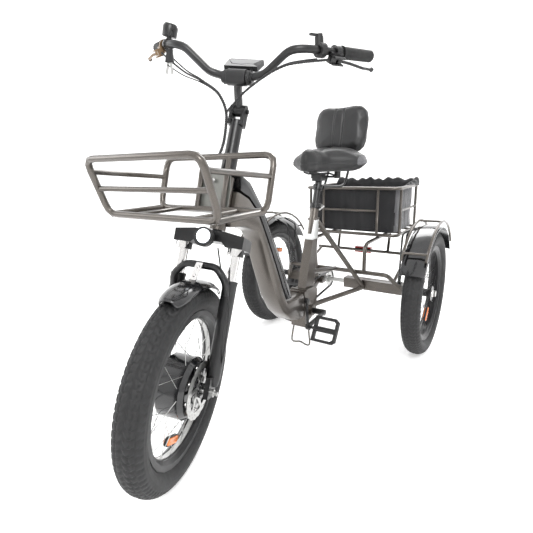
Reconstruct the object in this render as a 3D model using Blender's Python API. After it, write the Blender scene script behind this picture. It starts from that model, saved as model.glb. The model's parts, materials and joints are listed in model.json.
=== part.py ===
"""Adult electric tricycle with a folding frame, in metres. Front is -Y, the rider's left is +X, up is +Z.

Pieces are laid out in "trike" space, whose origin is on the ground below the straight front axle.
Pieces that steer are laid out in "steer" space: its origin is where the steering axis leaves the
bottom of the head tube, its Z runs up the steering axis, and its Y runs backwards.
"""

import math

import bmesh
import bpy
from mathutils import Matrix, Vector

# Driving dimensions
GAP = 0.0005
WHEEL_R = 0.275
TYRE_W = 0.078
WHEELBASE = 1.130
TRACK = 0.794
BASKET_REAR = 1.560

HEAD_TILT = math.radians(20.8)
STEER_REST = math.radians(20.0)
CROWN_Y = 0.210
CROWN_Z = 0.6616
HEAD_LENGTH = 0.165
HEAD_R = 0.024
STEERER_R = 0.0143

# Wheels
RIM_TIP_R = 0.211
RIM_BED_R = 0.1975
RIM_INNER_R = 0.187
RIM_HALF = 0.0245
RIM_WALL = 0.003
BEAD_CLEAR = 0.0007
RING_STEPS = 30
SPOKE_R = 0.0011
SPOKES_PER_SIDE = 18
SPOKE_SPREAD = 0.0022
NIPPLE_BAND_IN = 0.0022

# Front hub and brake
MOTOR_R = 0.088
MOTOR_HALF = 0.048
AXLE_R = 0.006
ROTOR_R = 0.080
ROTOR_X = 0.0545
ROTOR_T = 0.002
LEG_X = 0.078
LEG_R = 0.0205
LEG_OFFSET = 0.034
STANCHION_R = 0.0150

# Rear end
BEAM_HALF = 0.300
BEAM_SIZE = 0.048
REAR_AXLE_R = 0.010
REAR_FLANGE_R = 0.034
REAR_FLANGE_X = 0.026
SPROCKET_X = -0.068
SPROCKET_R = 0.0366
CHAINRING_R = 0.0567
CHAIN_W = 0.010
CHAIN_T = 0.006
CHAIN_CLEAR = 0.0010
BB_Y = 0.742
BB_Z = 0.250
BB_R = 0.022
BB_HALF = 0.042
CRANK_LENGTH = 0.150
CRANK_ANGLE = math.radians(2.0)
PEDAL_X = 0.168
PEDAL_W = 0.094
PEDAL_L = 0.096
PEDAL_TILT = math.radians(58.0)

# Main tube and fold hinge
TUBE_W = 0.072
TUBE_EDGE = 0.018
BAY_W = 0.056
HINGE_Y = 0.690
HINGE_HALF_W = 0.036
HINGE_LOW = 0.190
HINGE_HIGH = 0.352
HINGE_PLATE = 0.014
HINGE_PIN_R = 0.005
HINGE_GAP = 0.0008
KNUCKLE_R = 0.0110
KNUCKLE_HALF = 0.0120
KNUCKLES = (HINGE_LOW + 0.045, HINGE_HIGH - 0.030)

# Seat
SEAT_TUBE_R = 0.0175
SEATPOST_R = 0.0140
SEAT_TOP_Y = 0.837
SEAT_TOP_Z = 0.682
SEAT_SLOPE = 0.317
SADDLE_CLAMP_Z = 0.782
SADDLE_LENGTH = 0.285
SADDLE_W = 0.350
SADDLE_H = 0.078
BACKREST_W = 0.246
BACKREST_H = 0.206
BACKREST_T = 0.050
BACKREST_CORNER = 0.056
POST_CLEAR = 0.012

# Rear basket
BASKET_FRONT = 1.204
BASKET_HALF = 0.236
BASKET_TOP = 0.722
BASKET_LOW = 0.503
BASKET_INNER_X = 0.140
BASKET_TUBE = 0.008
LINER_WALL = 0.004

# Front basket
FB_TUBE = 0.0095
FB_HALF = 0.195
FB_POST_X = 0.047

# Cockpit
CLAMP_Y = 0.309
CLAMP_Z = 1.088
STEM_PIVOT_LZ = 0.3628
BAR_R = 0.0111
BAR_CENTRE_R = 0.0159
GRIP_R = 0.0165
GRIP_LENGTH = 0.124
LEVER_DROP = math.radians(-34.0)
CABLE_R = 0.0034
LOOM_R = 0.0048

# How far the turned front wheel reaches ahead of where its axle is when it points straight
FRONT_REACH = 0.2608
FRONT_AXLE_Y = (FRONT_REACH - BASKET_REAR - BASKET_TUBE) / 2

COLOURS = {
    "frame": ((0.115, 0.100, 0.090), 0.32, 0.75),
    "black_metal": ((0.012, 0.012, 0.013), 0.35, 0.5),
    "black_gloss": ((0.010, 0.010, 0.011), 0.12, 0.0),
    "black_plastic": ((0.015, 0.015, 0.016), 0.45, 0.0),
    "rubber": ((0.016, 0.016, 0.016), 0.75, 0.0),
    "tyre": ((0.014, 0.014, 0.014), 0.8, 0.0),
    "steel": ((0.62, 0.62, 0.62), 0.28, 1.0),
    "chrome": ((0.75, 0.75, 0.75), 0.08, 1.0),
    "vinyl": ((0.013, 0.013, 0.014), 0.38, 0.0),
    "fabric": ((0.011, 0.011, 0.013), 0.85, 0.0),
    "lens": ((0.9, 0.93, 1.0), 0.1, 0.0),
    "red": ((0.5, 0.01, 0.01), 0.2, 0.0),
    "grey_plate": ((0.24, 0.24, 0.22), 0.4, 0.7),
    "battery": ((0.03, 0.03, 0.035), 0.5, 0.0),
}


# Scene helpers
def clear_scene():
    for thing in list(bpy.data.objects):
        bpy.data.objects.remove(thing, do_unlink=True)


def material(name):
    found = bpy.data.materials.get(name)
    if found:
        return found
    colour, roughness, metallic = COLOURS[name]
    made = bpy.data.materials.new(name)
    made.use_nodes = True
    shader = made.node_tree.nodes["Principled BSDF"]
    shader.inputs["Base Color"].default_value = (*colour, 1.0)
    shader.inputs["Roughness"].default_value = roughness
    shader.inputs["Metallic"].default_value = metallic
    made.diffuse_color = (*colour, 1.0)
    return made


def empty(name, location, parent=None, rotation=None):
    made = bpy.data.objects.new(name, None)
    bpy.context.collection.objects.link(made)
    made.location = location
    if rotation is not None:
        made.rotation_mode = "QUATERNION"
        made.rotation_quaternion = rotation.to_quaternion()
    made.parent = parent
    return made


def add(name, mesh, finish, parent, origin=(0, 0, 0)):
    """An object whose mesh is given in its parent's space, with its own origin at `origin`."""
    made = bpy.data.objects.new(name, mesh)
    bpy.context.collection.objects.link(made)
    mesh.transform(Matrix.Translation(-Vector(origin)))
    mesh.materials.clear()
    mesh.materials.append(material(finish))
    mesh.shade_smooth()
    mesh.set_sharp_from_angle(angle=math.radians(35))
    made.location = origin
    made.parent = parent
    return made


def hidden(name, mesh, parent, origin, group):
    made = bpy.data.objects.new(name, mesh)
    group.objects.link(made)
    mesh.transform(Matrix.Translation(-Vector(origin)))
    made.location = origin
    made.parent = parent
    made.hide_render = True
    made.display_type = "WIRE"
    return made


def cut(target, meshes, operation="DIFFERENCE"):
    """One Boolean with all the meshes, whose points are in the space of the target's parent."""
    if not meshes:
        return target
    group = bpy.data.collections.new(f"{target.name}_tools_{len(target.modifiers)}")
    bpy.context.scene.collection.children.link(group)
    for mesh in meshes:
        hidden(f"{target.name}_tool", mesh, target.parent, target.location, group)
    boolean = target.modifiers.new(operation.lower(), "BOOLEAN")
    boolean.operation = operation
    boolean.solver = "EXACT"
    boolean.operand_type = "COLLECTION"
    boolean.collection = group
    return target


def fuse(name, meshes, finish, parent, origin=(0, 0, 0)):
    """One object from shapes that overlap."""
    made = add(name, meshes[0], finish, parent, origin)
    return cut(made, meshes[1:], "UNION")


def round_edges(target, width, segments=1, angle=40):
    bevel = target.modifiers.new("round", "BEVEL")
    bevel.width = width
    bevel.segments = segments
    bevel.limit_method = "ANGLE"
    bevel.angle_limit = math.radians(angle)
    return target


# Mesh helpers
def finish_mesh(name, shape):
    bmesh.ops.recalc_face_normals(shape, faces=shape.faces)
    mesh = bpy.data.meshes.new(name)
    shape.to_mesh(mesh)
    shape.free()
    return mesh


def box(low, high):
    shape = bmesh.new()
    bmesh.ops.create_cube(shape, size=1.0)
    low, high = Vector(low), Vector(high)
    for vertex in shape.verts:
        vertex.co = Vector([low[k] + (vertex.co[k] + 0.5) * (high[k] - low[k]) for k in range(3)])
    return finish_mesh("box", shape)


def moved(mesh, matrix):
    mesh.transform(matrix)
    if matrix.determinant() < 0:
        mesh.flip_normals()
    return mesh


def frame_along(direction):
    """A rotation whose Z lies along the direction."""
    return Vector(direction).normalized().to_track_quat("Z", "Y").to_matrix().to_4x4()


def prism(outline, low, high, plane="YZ"):
    """An outline of (y, z) pairs extruded along X, or of (x, y) pairs extruded along Z, or (x, z) along Y."""
    shape = bmesh.new()
    rings = []
    for level in (low, high):
        ring = []
        for a, b in outline:
            point = {"YZ": (level, a, b), "XY": (a, b, level), "XZ": (a, level, b)}[plane]
            ring.append(shape.verts.new(point))
        rings.append(ring)
    shape.faces.new(rings[0])
    shape.faces.new(rings[1])
    count = len(outline)
    for k in range(count):
        after = (k + 1) % count
        shape.faces.new((rings[0][k], rings[0][after], rings[1][after], rings[1][k]))
    return finish_mesh("prism", shape)


def lathe(profile, steps, centre=(0, 0, 0), axis=(1, 0, 0), start=0.0, closed=True):
    """Turns (radius, along) pairs about an axis. An open profile starts and ends on the axis."""
    turn = frame_along(axis)
    shape = bmesh.new()
    rings = []
    for radius, along in profile:
        if radius < 1e-6:
            rings.append([shape.verts.new((0, 0, along))])
            continue
        ring = []
        for k in range(steps):
            angle = start + 2 * math.pi * k / steps
            ring.append(shape.verts.new((radius * math.cos(angle), radius * math.sin(angle), along)))
        rings.append(ring)
    pairs = list(zip(rings, rings[1:]))
    if closed:
        pairs.append((rings[-1], rings[0]))
    for first, second in pairs:
        for k in range(steps):
            after = (k + 1) % steps
            corners = [first[k % len(first)], first[after % len(first)]]
            corners += [second[after % len(second)], second[k % len(second)]]
            unique = list(dict.fromkeys(corners))
            if len(unique) > 2:
                shape.faces.new(unique)
    mesh = finish_mesh("lathe", shape)
    return moved(mesh, Matrix.Translation(centre) @ turn)


def rod(start, end, radius, steps=10, end_radius=None):
    """A cylinder or a cone between two points."""
    start, end = Vector(start), Vector(end)
    length = (end - start).length
    last = radius if end_radius is None else end_radius
    profile = [(0, 0), (radius, 0), (last, length), (0, length)]
    return lathe(profile, steps, start, end - start, closed=False)


def ring_profile(inner, outer, low, high):
    return [(inner, low), (outer, low), (outer, high), (inner, high)]


def rounded(points, radius, steps=4, closed=False):
    """The same route with each corner rounded by an arc."""
    points = [Vector(p) for p in points]
    count = len(points)
    made = []
    for k, corner in enumerate(points):
        if not closed and k in (0, count - 1):
            made.append(corner)
            continue
        before = points[k - 1] - corner
        after = points[(k + 1) % count] - corner
        angle = before.angle(after)
        if angle > math.radians(176):
            made.append(corner)
            continue
        reach = min(radius / math.tan(angle / 2), 0.49 * before.length, 0.49 * after.length)
        first = corner + before.normalized() * reach
        last = corner + after.normalized() * reach
        for step in range(steps + 1):
            t = step / steps
            made.append(first * (1 - t) ** 2 + corner * 2 * t * (1 - t) + last * t * t)
    return made


def pipe(points, radius, sides=6, closed=False, flat=1.0):
    """A tube along a route. `flat` scales its width across the route's first sideways direction."""
    points = [Vector(p) for p in points]
    count = len(points)
    shape = bmesh.new()
    rings = []
    side = None
    for k, point in enumerate(points):
        if closed:
            ahead = (points[(k + 1) % count] - points[k - 1]).normalized()
        else:
            ahead = (points[min(k + 1, count - 1)] - points[max(k - 1, 0)]).normalized()
        if side is None:
            side = ahead.cross(Vector((0.02, 0.05, 1.0)))
            if side.length < 0.2:
                side = ahead.cross(Vector((1.0, 0.1, 0.0)))
        side = (side - ahead * side.dot(ahead)).normalized()
        up = ahead.cross(side).normalized()
        ring = []
        for j in range(sides):
            angle = 2 * math.pi * (j + 0.5) / sides
            offset = side * math.cos(angle) * radius * flat + up * math.sin(angle) * radius
            ring.append(shape.verts.new(point + offset))
        rings.append(ring)
    pairs = [(rings[k], rings[k + 1]) for k in range(count - 1)]
    if closed:
        shift = min(
            range(sides),
            key=lambda s: (rings[-1][0].co - rings[0][s].co).length,
        )
        pairs.append((rings[-1], rings[0][shift:] + rings[0][:shift]))
    else:
        shape.faces.new(rings[0])
        shape.faces.new(rings[-1])
    for first, second in pairs:
        for j in range(sides):
            after = (j + 1) % sides
            shape.faces.new((first[j], first[after], second[after], second[j]))
    return finish_mesh("pipe", shape)


def merge(meshes):
    """Shapes that don't touch, as one mesh for a Boolean to join."""
    shape = bmesh.new()
    for mesh in meshes:
        shape.from_mesh(mesh)
        bpy.data.meshes.remove(mesh)
    return finish_mesh("merged", shape)


def steer(x, y, z):
    """Steer-space place of a point given in trike space with the wheel straight."""
    dy, dz = y - CROWN_Y, z - CROWN_Z
    back = dy * math.cos(HEAD_TILT) - dz * math.sin(HEAD_TILT)
    up = dy * math.sin(HEAD_TILT) + dz * math.cos(HEAD_TILT)
    return Vector((x, back, up))


# Wheels
def tyre_mesh(centre):
    half = TYRE_W / 2
    bead = RIM_HALF - RIM_WALL - BEAD_CLEAR
    outer = [
        (RIM_BED_R + 0.001, bead),
        (RIM_TIP_R + 0.0015, bead),
        (0.228, 0.95 * half),
        (0.258, 0.90 * half),
        (WHEEL_R, 0.30 * half),
    ]
    inner = [
        (0.262, 0.50 * half),
        (RIM_BED_R + 0.001, bead - 0.004),
    ]
    profile = outer + [(r, -x) for r, x in reversed(outer)]
    profile += [(r, -x) for r, x in reversed(inner)] + inner
    return lathe(profile, RING_STEPS, centre)


def rim_mesh(centre):
    inside = RIM_HALF - RIM_WALL
    profile = [
        (RIM_TIP_R, RIM_HALF),
        (RIM_BED_R - 0.001, RIM_HALF),
        (RIM_INNER_R, 0.60 * RIM_HALF),
        (RIM_INNER_R, -0.60 * RIM_HALF),
        (RIM_BED_R - 0.001, -RIM_HALF),
        (RIM_TIP_R, -RIM_HALF),
        (RIM_TIP_R, -inside),
        (RIM_BED_R, -inside),
        (RIM_BED_R, inside),
        (RIM_TIP_R, inside),
    ]
    return lathe(profile, RING_STEPS, centre)


def spoke_meshes(centre, flange_r, flange_x, lean, reach):
    """Crossed spokes of both sides: they leave the flange on alternate faces, so that they don't touch."""
    centre = Vector(centre)
    pitch = 2 * math.pi / SPOKES_PER_SIDE
    made = []
    for side in (-1, 1):
        for k in range(SPOKES_PER_SIDE):
            way = 1 if k % 2 else -1
            low = k * pitch + (pitch / 2 if side > 0 else 0)
            high = low + way * lean
            inner = Vector((
                side * flange_x + way * SPOKE_SPREAD,
                flange_r * math.cos(low),
                flange_r * math.sin(low),
            ))
            outer = Vector((side * 0.0045, reach * math.cos(high), reach * math.sin(high)))
            made.append(rod(centre + inner, centre + outer, SPOKE_R, 3))
    return made


# Front end
def steering_empty(trike):
    tilt = Matrix.Rotation(-HEAD_TILT, 3, "X")
    turn = Matrix.Rotation(STEER_REST, 3, "Z")
    return empty("steering", (0, CROWN_Y, CROWN_Z), trike, tilt @ turn)


def build_fork_upper(steering):
    leg_top = -0.004
    crown = prism(
        [(-LEG_X - 0.024, -0.046), (-LEG_X - 0.024, -0.012), (-0.045, leg_top), (0.045, leg_top),
         (LEG_X + 0.024, -0.012), (LEG_X + 0.024, -0.046), (LEG_X - 0.026, -0.046),
         (0.040, -0.034), (-0.040, -0.034), (-LEG_X + 0.026, -0.046)],
        -LEG_OFFSET - 0.024, 0.026, "XZ",
    )
    shapes = [crown]
    shapes.append(rod((0, 0, -0.02), (0, 0, HEAD_LENGTH + 0.052), STEERER_R, 12))
    for side in (-1, 1):
        x = side * LEG_X
        shapes.append(rod((x, -LEG_OFFSET, -0.066), (x, -LEG_OFFSET, -0.02), LEG_R + 0.003, 12))
        shapes.append(rod((x, -LEG_OFFSET, -0.280), (x, -LEG_OFFSET, -0.03), STANCHION_R, 12))
    return fuse("fork_upper", shapes, "black_metal", steering)


def leg_mesh(x, top, bottom):
    profile = [
        (0, bottom), (LEG_R * 0.8, bottom), (LEG_R, bottom + 0.02), (LEG_R, top - 0.012),
        (LEG_R + 0.002, top), (0, top),
    ]
    return lathe(profile, 12, (x, -LEG_OFFSET, 0), (0, 0, 1), closed=False)


def build_fork_lowers(steering, axle):
    top = -0.135
    shapes = []
    for side in (-1, 1):
        x = side * LEG_X
        shapes.append(leg_mesh(x, top, axle.z + 0.012))
    arch = rounded(
        [(-LEG_X, -LEG_OFFSET - 0.018, top - 0.04), (-LEG_X + 0.002, -LEG_OFFSET - 0.036, top - 0.004),
         (-0.045, -LEG_OFFSET - 0.038, top + 0.030), (0.045, -LEG_OFFSET - 0.038, top + 0.030),
         (LEG_X - 0.002, -LEG_OFFSET - 0.036, top - 0.004), (LEG_X, -LEG_OFFSET - 0.018, top - 0.04)],
        0.03, 2,
    )
    shapes.append(pipe(arch, 0.0105, 6))
    for side in (-1, 1):
        x = side * LEG_X
        shapes.append(box(
            (x - 0.007, axle.y - 0.015, axle.z - 0.017),
            (x + 0.007, -LEG_OFFSET + 0.012, axle.z + 0.040),
        ))
    lowers = fuse("fork_lowers", shapes, "black_metal", steering, (0, -LEG_OFFSET, top))
    holes = [rod((-0.1, axle.y, axle.z), (0.1, axle.y, axle.z), AXLE_R + GAP, 12)]
    for x in (-LEG_X, LEG_X):
        holes.append(rod((x, -LEG_OFFSET, -0.345), (x, -LEG_OFFSET, -0.05), STANCHION_R + GAP, 12))
    return cut(lowers, holes)


def build_front_axle(steering, axle):
    span = LEG_X + 0.007 + GAP
    nut_r = 0.0105
    profile = [
        (0, -span - 0.020), (AXLE_R, -span - 0.020), (AXLE_R, -span - 0.010), (nut_r, -span - 0.010),
        (nut_r, -span), (AXLE_R, -span), (AXLE_R, span), (nut_r, span), (nut_r, span + 0.010),
        (AXLE_R, span + 0.010), (AXLE_R, span + 0.020), (0, span + 0.020),
    ]
    return add("front_axle", lathe(profile, 12, axle, closed=False), "steel", steering, axle)


def build_front_wheel(steering, axle):
    add("front_tyre", tyre_mesh(axle), "tyre", steering, axle)
    add("front_rim", rim_mesh(axle), "black_metal", steering, axle)
    bore = AXLE_R + GAP
    neck = MOTOR_HALF + 0.016
    profile = [
        (bore, -neck), (0.016, -neck), (0.016, -MOTOR_HALF), (MOTOR_R * 0.86, -MOTOR_HALF + 0.006),
        (MOTOR_R * 0.97, -MOTOR_HALF + 0.018), (MOTOR_R * 0.97, MOTOR_HALF - 0.018),
        (MOTOR_R * 0.86, MOTOR_HALF - 0.006), (0.040, MOTOR_HALF), (0.040, ROTOR_X - ROTOR_T / 2 - GAP),
        (0.020, ROTOR_X - ROTOR_T / 2 - GAP), (0.020, neck), (bore, neck),
    ]
    add("hub_motor", lathe(profile, 20, axle), "black_metal", steering, axle)
    rotor = ring_profile(0.021, ROTOR_R, ROTOR_X - ROTOR_T / 2, ROTOR_X + ROTOR_T / 2)
    add("brake_rotor", lathe(rotor, 28, axle), "steel", steering, axle)
    band_r = RIM_INNER_R - GAP
    band = lathe(ring_profile(band_r - NIPPLE_BAND_IN, band_r, -0.007, 0.007), RING_STEPS, axle)
    spokes = merge(spoke_meshes(
        axle, MOTOR_R + 0.001, MOTOR_HALF - 0.020, math.radians(20), band_r - 0.001,
    ))
    fuse("front_spokes", [band, spokes], "steel", steering, axle)


def build_caliper(steering, axle):
    y = axle.y + 0.052
    z = axle.z + 0.062
    low = (ROTOR_X - 0.0055, y - 0.020, z - 0.022)
    high = (LEG_X - 0.004, y + 0.020, z + 0.026)
    body = add("brake_caliper", box(low, high), "black_metal", steering)
    slot_low = (ROTOR_X - ROTOR_T / 2 - 0.0015, y - 0.05, z - 0.05)
    slot_high = (ROTOR_X + ROTOR_T / 2 + 0.0015, y + 0.018, z + 0.020)
    cut(body, [box(slot_low, slot_high)])
    leg = rod((LEG_X, -LEG_OFFSET, -0.45), (LEG_X, -LEG_OFFSET, -0.2), LEG_R + GAP, 12)
    return cut(body, [leg])


def strip_mesh(centre, radius, thickness, half, start, stop, steps, crown=0.0):
    """A curved strip round a wheel. Angles run from straight up, and are positive towards the front."""
    shape = bmesh.new()
    across = [-half, -half * 0.5, half * 0.5, half]
    rows = []
    for k in range(steps + 1):
        angle = start + (stop - start) * k / steps
        row = []
        for layer in (0, 1):
            for x in across:
                bow = crown * (1 - (x / half) ** 2)
                r = radius + bow + layer * thickness
                row.append(shape.verts.new((
                    centre[0] + x, centre[1] - r * math.sin(angle), centre[2] + r * math.cos(angle),
                )))
        rows.append(row)
    count = len(across)
    loop = list(range(count)) + list(range(2 * count - 1, count - 1, -1))
    for first, second in zip(rows, rows[1:]):
        for k in range(len(loop)):
            a, b = loop[k], loop[(k + 1) % len(loop)]
            shape.faces.new((first[a], first[b], second[b], second[a]))
    for row in (rows[0], rows[-1]):
        for k in range(count - 1):
            shape.faces.new((row[k], row[k + 1], row[count + k + 1], row[count + k]))
    return finish_mesh("strip", shape)


def build_front_fender(steering, axle):
    strip = strip_mesh(axle, WHEEL_R + 0.010, 0.003, 0.040, math.radians(-22), math.radians(38), 10, 0.006)
    tab_y = -LEG_OFFSET - 0.034
    tab = box((-0.011, tab_y - 0.018, axle.z + WHEEL_R + 0.012), (0.011, tab_y - 0.014, -0.108))
    return fuse("front_fender", [strip, tab], "black_gloss", steering)


def build_headlight(steering):
    centre = Vector((0, -LEG_OFFSET - 0.024 - GAP, -0.030))
    profile = [
        (0, 0), (0.012, 0), (0.016, 0.008), (0.026, 0.018), (0.027, 0.040), (0.023, 0.041),
        (0.020, 0.036), (0, 0.036),
    ]
    body = lathe(profile, 16, centre, (0, -1, 0), closed=False)
    return add("headlight", body, "black_plastic", steering)


# Stem and handlebar
def bar_points():
    clamp = Vector((0, CLAMP_Y, CLAMP_Z))
    half = [
        (0.030, 0.0, 0.0), (0.080, -0.012, 0.010), (0.150, -0.034, 0.068), (0.190, -0.030, 0.074),
        (0.3455, 0.170, 0.100),
    ]
    right = [clamp + Vector((-x, y, z)) for x, y, z in reversed(half)]
    left = [clamp + Vector(p) for p in half]
    return [steer(*p) for p in right + left]


def bar_end(side):
    ends = bar_points()
    return (ends[-1], ends[-2]) if side > 0 else (ends[0], ends[1])


def build_stem_lower(steering):
    foot = HEAD_LENGTH + 0.004
    top = STEM_PIVOT_LZ
    post = lathe(
        [(STEERER_R + GAP, foot), (0.0225, foot), (0.0225, foot + 0.05), (0.0195, foot + 0.07),
         (0.0195, top - 0.030), (0, top - 0.030), (0, foot + 0.060), (STEERER_R + GAP, foot + 0.060)],
        14, (0, 0, 0), (0, 0, 1),
    )
    shapes = [post]
    for side in (-1, 1):
        low = (min(side * 0.013, side * 0.023), -0.017, top - 0.045)
        high = (max(side * 0.013, side * 0.023), 0.017, top + 0.002)
        shapes.append(box(low, high))
        shapes.append(rod((side * 0.013, 0, top), (side * 0.0235, 0, top), 0.0185, 14))
    stem = fuse("stem_lower", shapes, "black_metal", steering)
    hole = rod((-0.05, 0, top), (0.05, 0, top), 0.0060 + GAP, 10)
    return cut(stem, [hole])


def build_stem_upper(stem, pivot):
    clamp = steer(0, CLAMP_Y, CLAMP_Z)
    shapes = [rod((-0.0122, 0, pivot.z), (0.0122, 0, pivot.z), 0.0165, 14)]
    shapes.append(rod((-0.030, 0, pivot.z), (0.030, 0, pivot.z), 0.0060, 10))
    neck = [(0, 0, pivot.z), (0, (clamp.y - 0) * 0.75, pivot.z + (clamp.z - pivot.z) * 0.75)]
    shapes.append(pipe([neck[0], neck[1], clamp], 0.0120, 6))
    shapes.append(rod(clamp - Vector((0.027, 0, 0)), clamp + Vector((0.027, 0, 0)), 0.0225, 16))
    local = [moved(mesh, Matrix.Translation(-pivot)) for mesh in shapes]
    body = fuse("stem_upper", local, "black_metal", stem)
    bore = rod(clamp - Vector((0.05, 0, 0)), clamp + Vector((0.05, 0, 0)), BAR_CENTRE_R + GAP, 16)
    return cut(body, [moved(bore, Matrix.Translation(-pivot))])


def build_handlebar(stem, pivot):
    clamp = steer(0, CLAMP_Y, CLAMP_Z)
    route = rounded(bar_points(), 0.055, 3)
    back = Matrix.Translation(-pivot)
    bar = moved(pipe(route, BAR_R, 6), back)
    centre = moved(rod(clamp - Vector((0.045, 0, 0)), clamp + Vector((0.045, 0, 0)), BAR_CENTRE_R, 16), back)
    fuse("handlebar", [centre, bar], "black_metal", stem)
    for side, name in ((1, "left"), (-1, "right")):
        end, before = bar_end(side)
        along = (before - end).normalized()
        start = end - along * 0.004
        profile = [
            (0, 0), (GRIP_R * 0.85, 0), (GRIP_R, 0.004), (GRIP_R, GRIP_LENGTH - 0.006),
            (GRIP_R * 1.12, GRIP_LENGTH), (BAR_R + GAP, GRIP_LENGTH), (BAR_R + GAP, 0.0036), (0, 0.0036),
        ]
        grip = lathe(profile, 14, start, along, closed=False)
        add(f"grip_{name}", moved(grip, back), "rubber", stem)


def bar_station(side, distance):
    """A point on the straight end of the bar, measured from its tip, and the direction inwards."""
    end, before = bar_end(side)
    along = (before - end).normalized()
    return end + along * distance, along


def station_matrix(side, distance, pivot):
    """Axes at a station of the bar: X inwards along the bar, Y ahead of it and Z up from it."""
    point, along = bar_station(side, distance)
    ahead = steer(0, CROWN_Y - 1.0, CROWN_Z)
    ahead = (ahead - along * ahead.dot(along)).normalized()
    up = along.cross(ahead) if along.cross(ahead).z > 0 else ahead.cross(along)
    turn = Matrix((along, ahead, up)).transposed().to_4x4()
    return Matrix.Translation(point - pivot) @ turn


LEVER_PIVOT = Vector((0.012, 0.030, -0.012))


def build_brake_levers(stem, pivot):
    for side, name in ((1, "left"), (-1, "right")):
        place = station_matrix(side, GRIP_LENGTH + 0.012, pivot) @ Matrix.Rotation(LEVER_DROP, 4, "X")
        collar = lathe(ring_profile(BAR_R + GAP, BAR_R + 0.0064, -0.006, 0.014), 14)
        arm = box((-0.004, 0.0145, -0.018), (0.040, 0.0225, 0.004))
        ear_low = box((0.000, 0.018, -0.0225), (0.040, 0.040, -0.0185))
        ear_high = box((0.000, 0.018, -0.0055), (0.040, 0.040, -0.0010))
        nose = box((0.028, 0.018, -0.0215), (0.046, 0.034, -0.0015))
        shapes = [moved(mesh, place) for mesh in (collar, arm, ear_low, ear_high, nose)]
        fuse(f"lever_mount_{name}", shapes, "black_metal", stem)
        hinge = place @ LEVER_PIVOT
        blade = [
            LEVER_PIVOT, LEVER_PIVOT + Vector((-0.030, 0.012, 0.0)),
            LEVER_PIVOT + Vector((-0.080, 0.020, -0.006)), LEVER_PIVOT + Vector((-0.128, 0.012, -0.010)),
        ]
        boss = rod(LEVER_PIVOT - Vector((0, 0, 0.0055)), LEVER_PIVOT + Vector((0, 0, 0.0055)), 0.0075, 10)
        ball = lathe(
            [(0, -0.007), (0.005, -0.005), (0.007, 0), (0.005, 0.005), (0, 0.007)],
            8, blade[-1], (1, 0, 0), closed=False,
        )
        shapes = [boss, pipe(rounded(blade, 0.03, 2), 0.0040, 6, flat=1.2), ball]
        shapes = [moved(mesh, place) for mesh in shapes]
        fuse(f"brake_lever_{name}", shapes, "black_metal", stem, hinge)


BELL_BASE = BAR_R + 0.0089


def build_bell(stem, pivot):
    place = station_matrix(-1, GRIP_LENGTH + 0.072, pivot)
    collar = lathe(ring_profile(BAR_R + GAP, BAR_R + 0.0049, -0.009, 0.009), 12)
    foot = rod((0, 0, BAR_R + 0.0019), (0, 0, BELL_BASE + 0.004), 0.0075, 10)
    dome = lathe(
        [(0, BELL_BASE), (0.021, BELL_BASE), (0.022, BELL_BASE + 0.026), (0.017, BELL_BASE + 0.034),
         (0, BELL_BASE + 0.036)],
        16, (0, 0, 0), (0, 0, 1), closed=False,
    )
    fuse("bell", [moved(m, place) for m in (collar, foot, dome)], "black_metal", stem)
    hinge = Vector((0.030, 0, BELL_BASE + 0.006))
    post = rod(hinge - Vector((0, 0, 0.004)), hinge + Vector((0, 0, 0.012)), 0.0030, 8)
    finger = box(hinge + Vector((-0.002, -0.004, 0.010)), hinge + Vector((0.014, 0.004, 0.016)))
    fuse("bell_striker", [moved(m, place) for m in (post, finger)], "black_plastic", stem, place @ hinge)


THROTTLE_TOP = BAR_R + 0.0249


def build_throttle(stem, pivot):
    place = station_matrix(1, GRIP_LENGTH + 0.075, pivot)
    collar = lathe(ring_profile(BAR_R + GAP, BAR_R + 0.0079, -0.010, 0.010), 14)
    pod = rod((0.0, -0.004, BAR_R + 0.0039), (0.0, -0.004, THROTTLE_TOP - 0.003), 0.012, 12)
    fuse("throttle", [moved(m, place) for m in (collar, pod)], "black_plastic", stem)
    hinge = Vector((0.0, -0.004, THROTTLE_TOP))
    disc = rod(hinge - Vector((0, 0, 0.0025)), hinge + Vector((0, 0, 0.0035)), 0.010, 12)
    paddle = box(hinge + Vector((0.004, -0.004, -0.002)), hinge + Vector((0.032, 0.004, 0.003)))
    shapes = [moved(m, place) for m in (disc, paddle)]
    fuse("throttle_lever", shapes, "black_plastic", stem, place @ hinge)


def build_display(stem, pivot):
    clamp = steer(0, CLAMP_Y, CLAMP_Z) - pivot
    tilt = Matrix.Rotation(math.radians(48), 4, "X")
    place = Matrix.Translation(clamp + Vector((0, 0.030, 0.055))) @ tilt
    case = moved(prism(
        [(-0.050, -0.031), (0.050, -0.031), (0.054, 0.025), (0.048, 0.031), (-0.048, 0.031), (-0.054, 0.025)],
        -0.007, 0.007, "XY",
    ), place)
    shapes = [case]
    for side in (-1, 1):
        centre = clamp + Vector((side * 0.0335, 0, 0))
        ring = ring_profile(BAR_CENTRE_R + GAP, BAR_CENTRE_R + 0.0036, -0.005, 0.005)
        shapes.append(lathe(ring, 16, centre))
        foot = centre + Vector((0, 0.005, BAR_CENTRE_R + 0.0011))
        shapes.append(pipe([foot, centre + Vector((0, 0.022, 0.052))], 0.0045, 6))
    return fuse("display", shapes, "black_plastic", stem)


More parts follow.
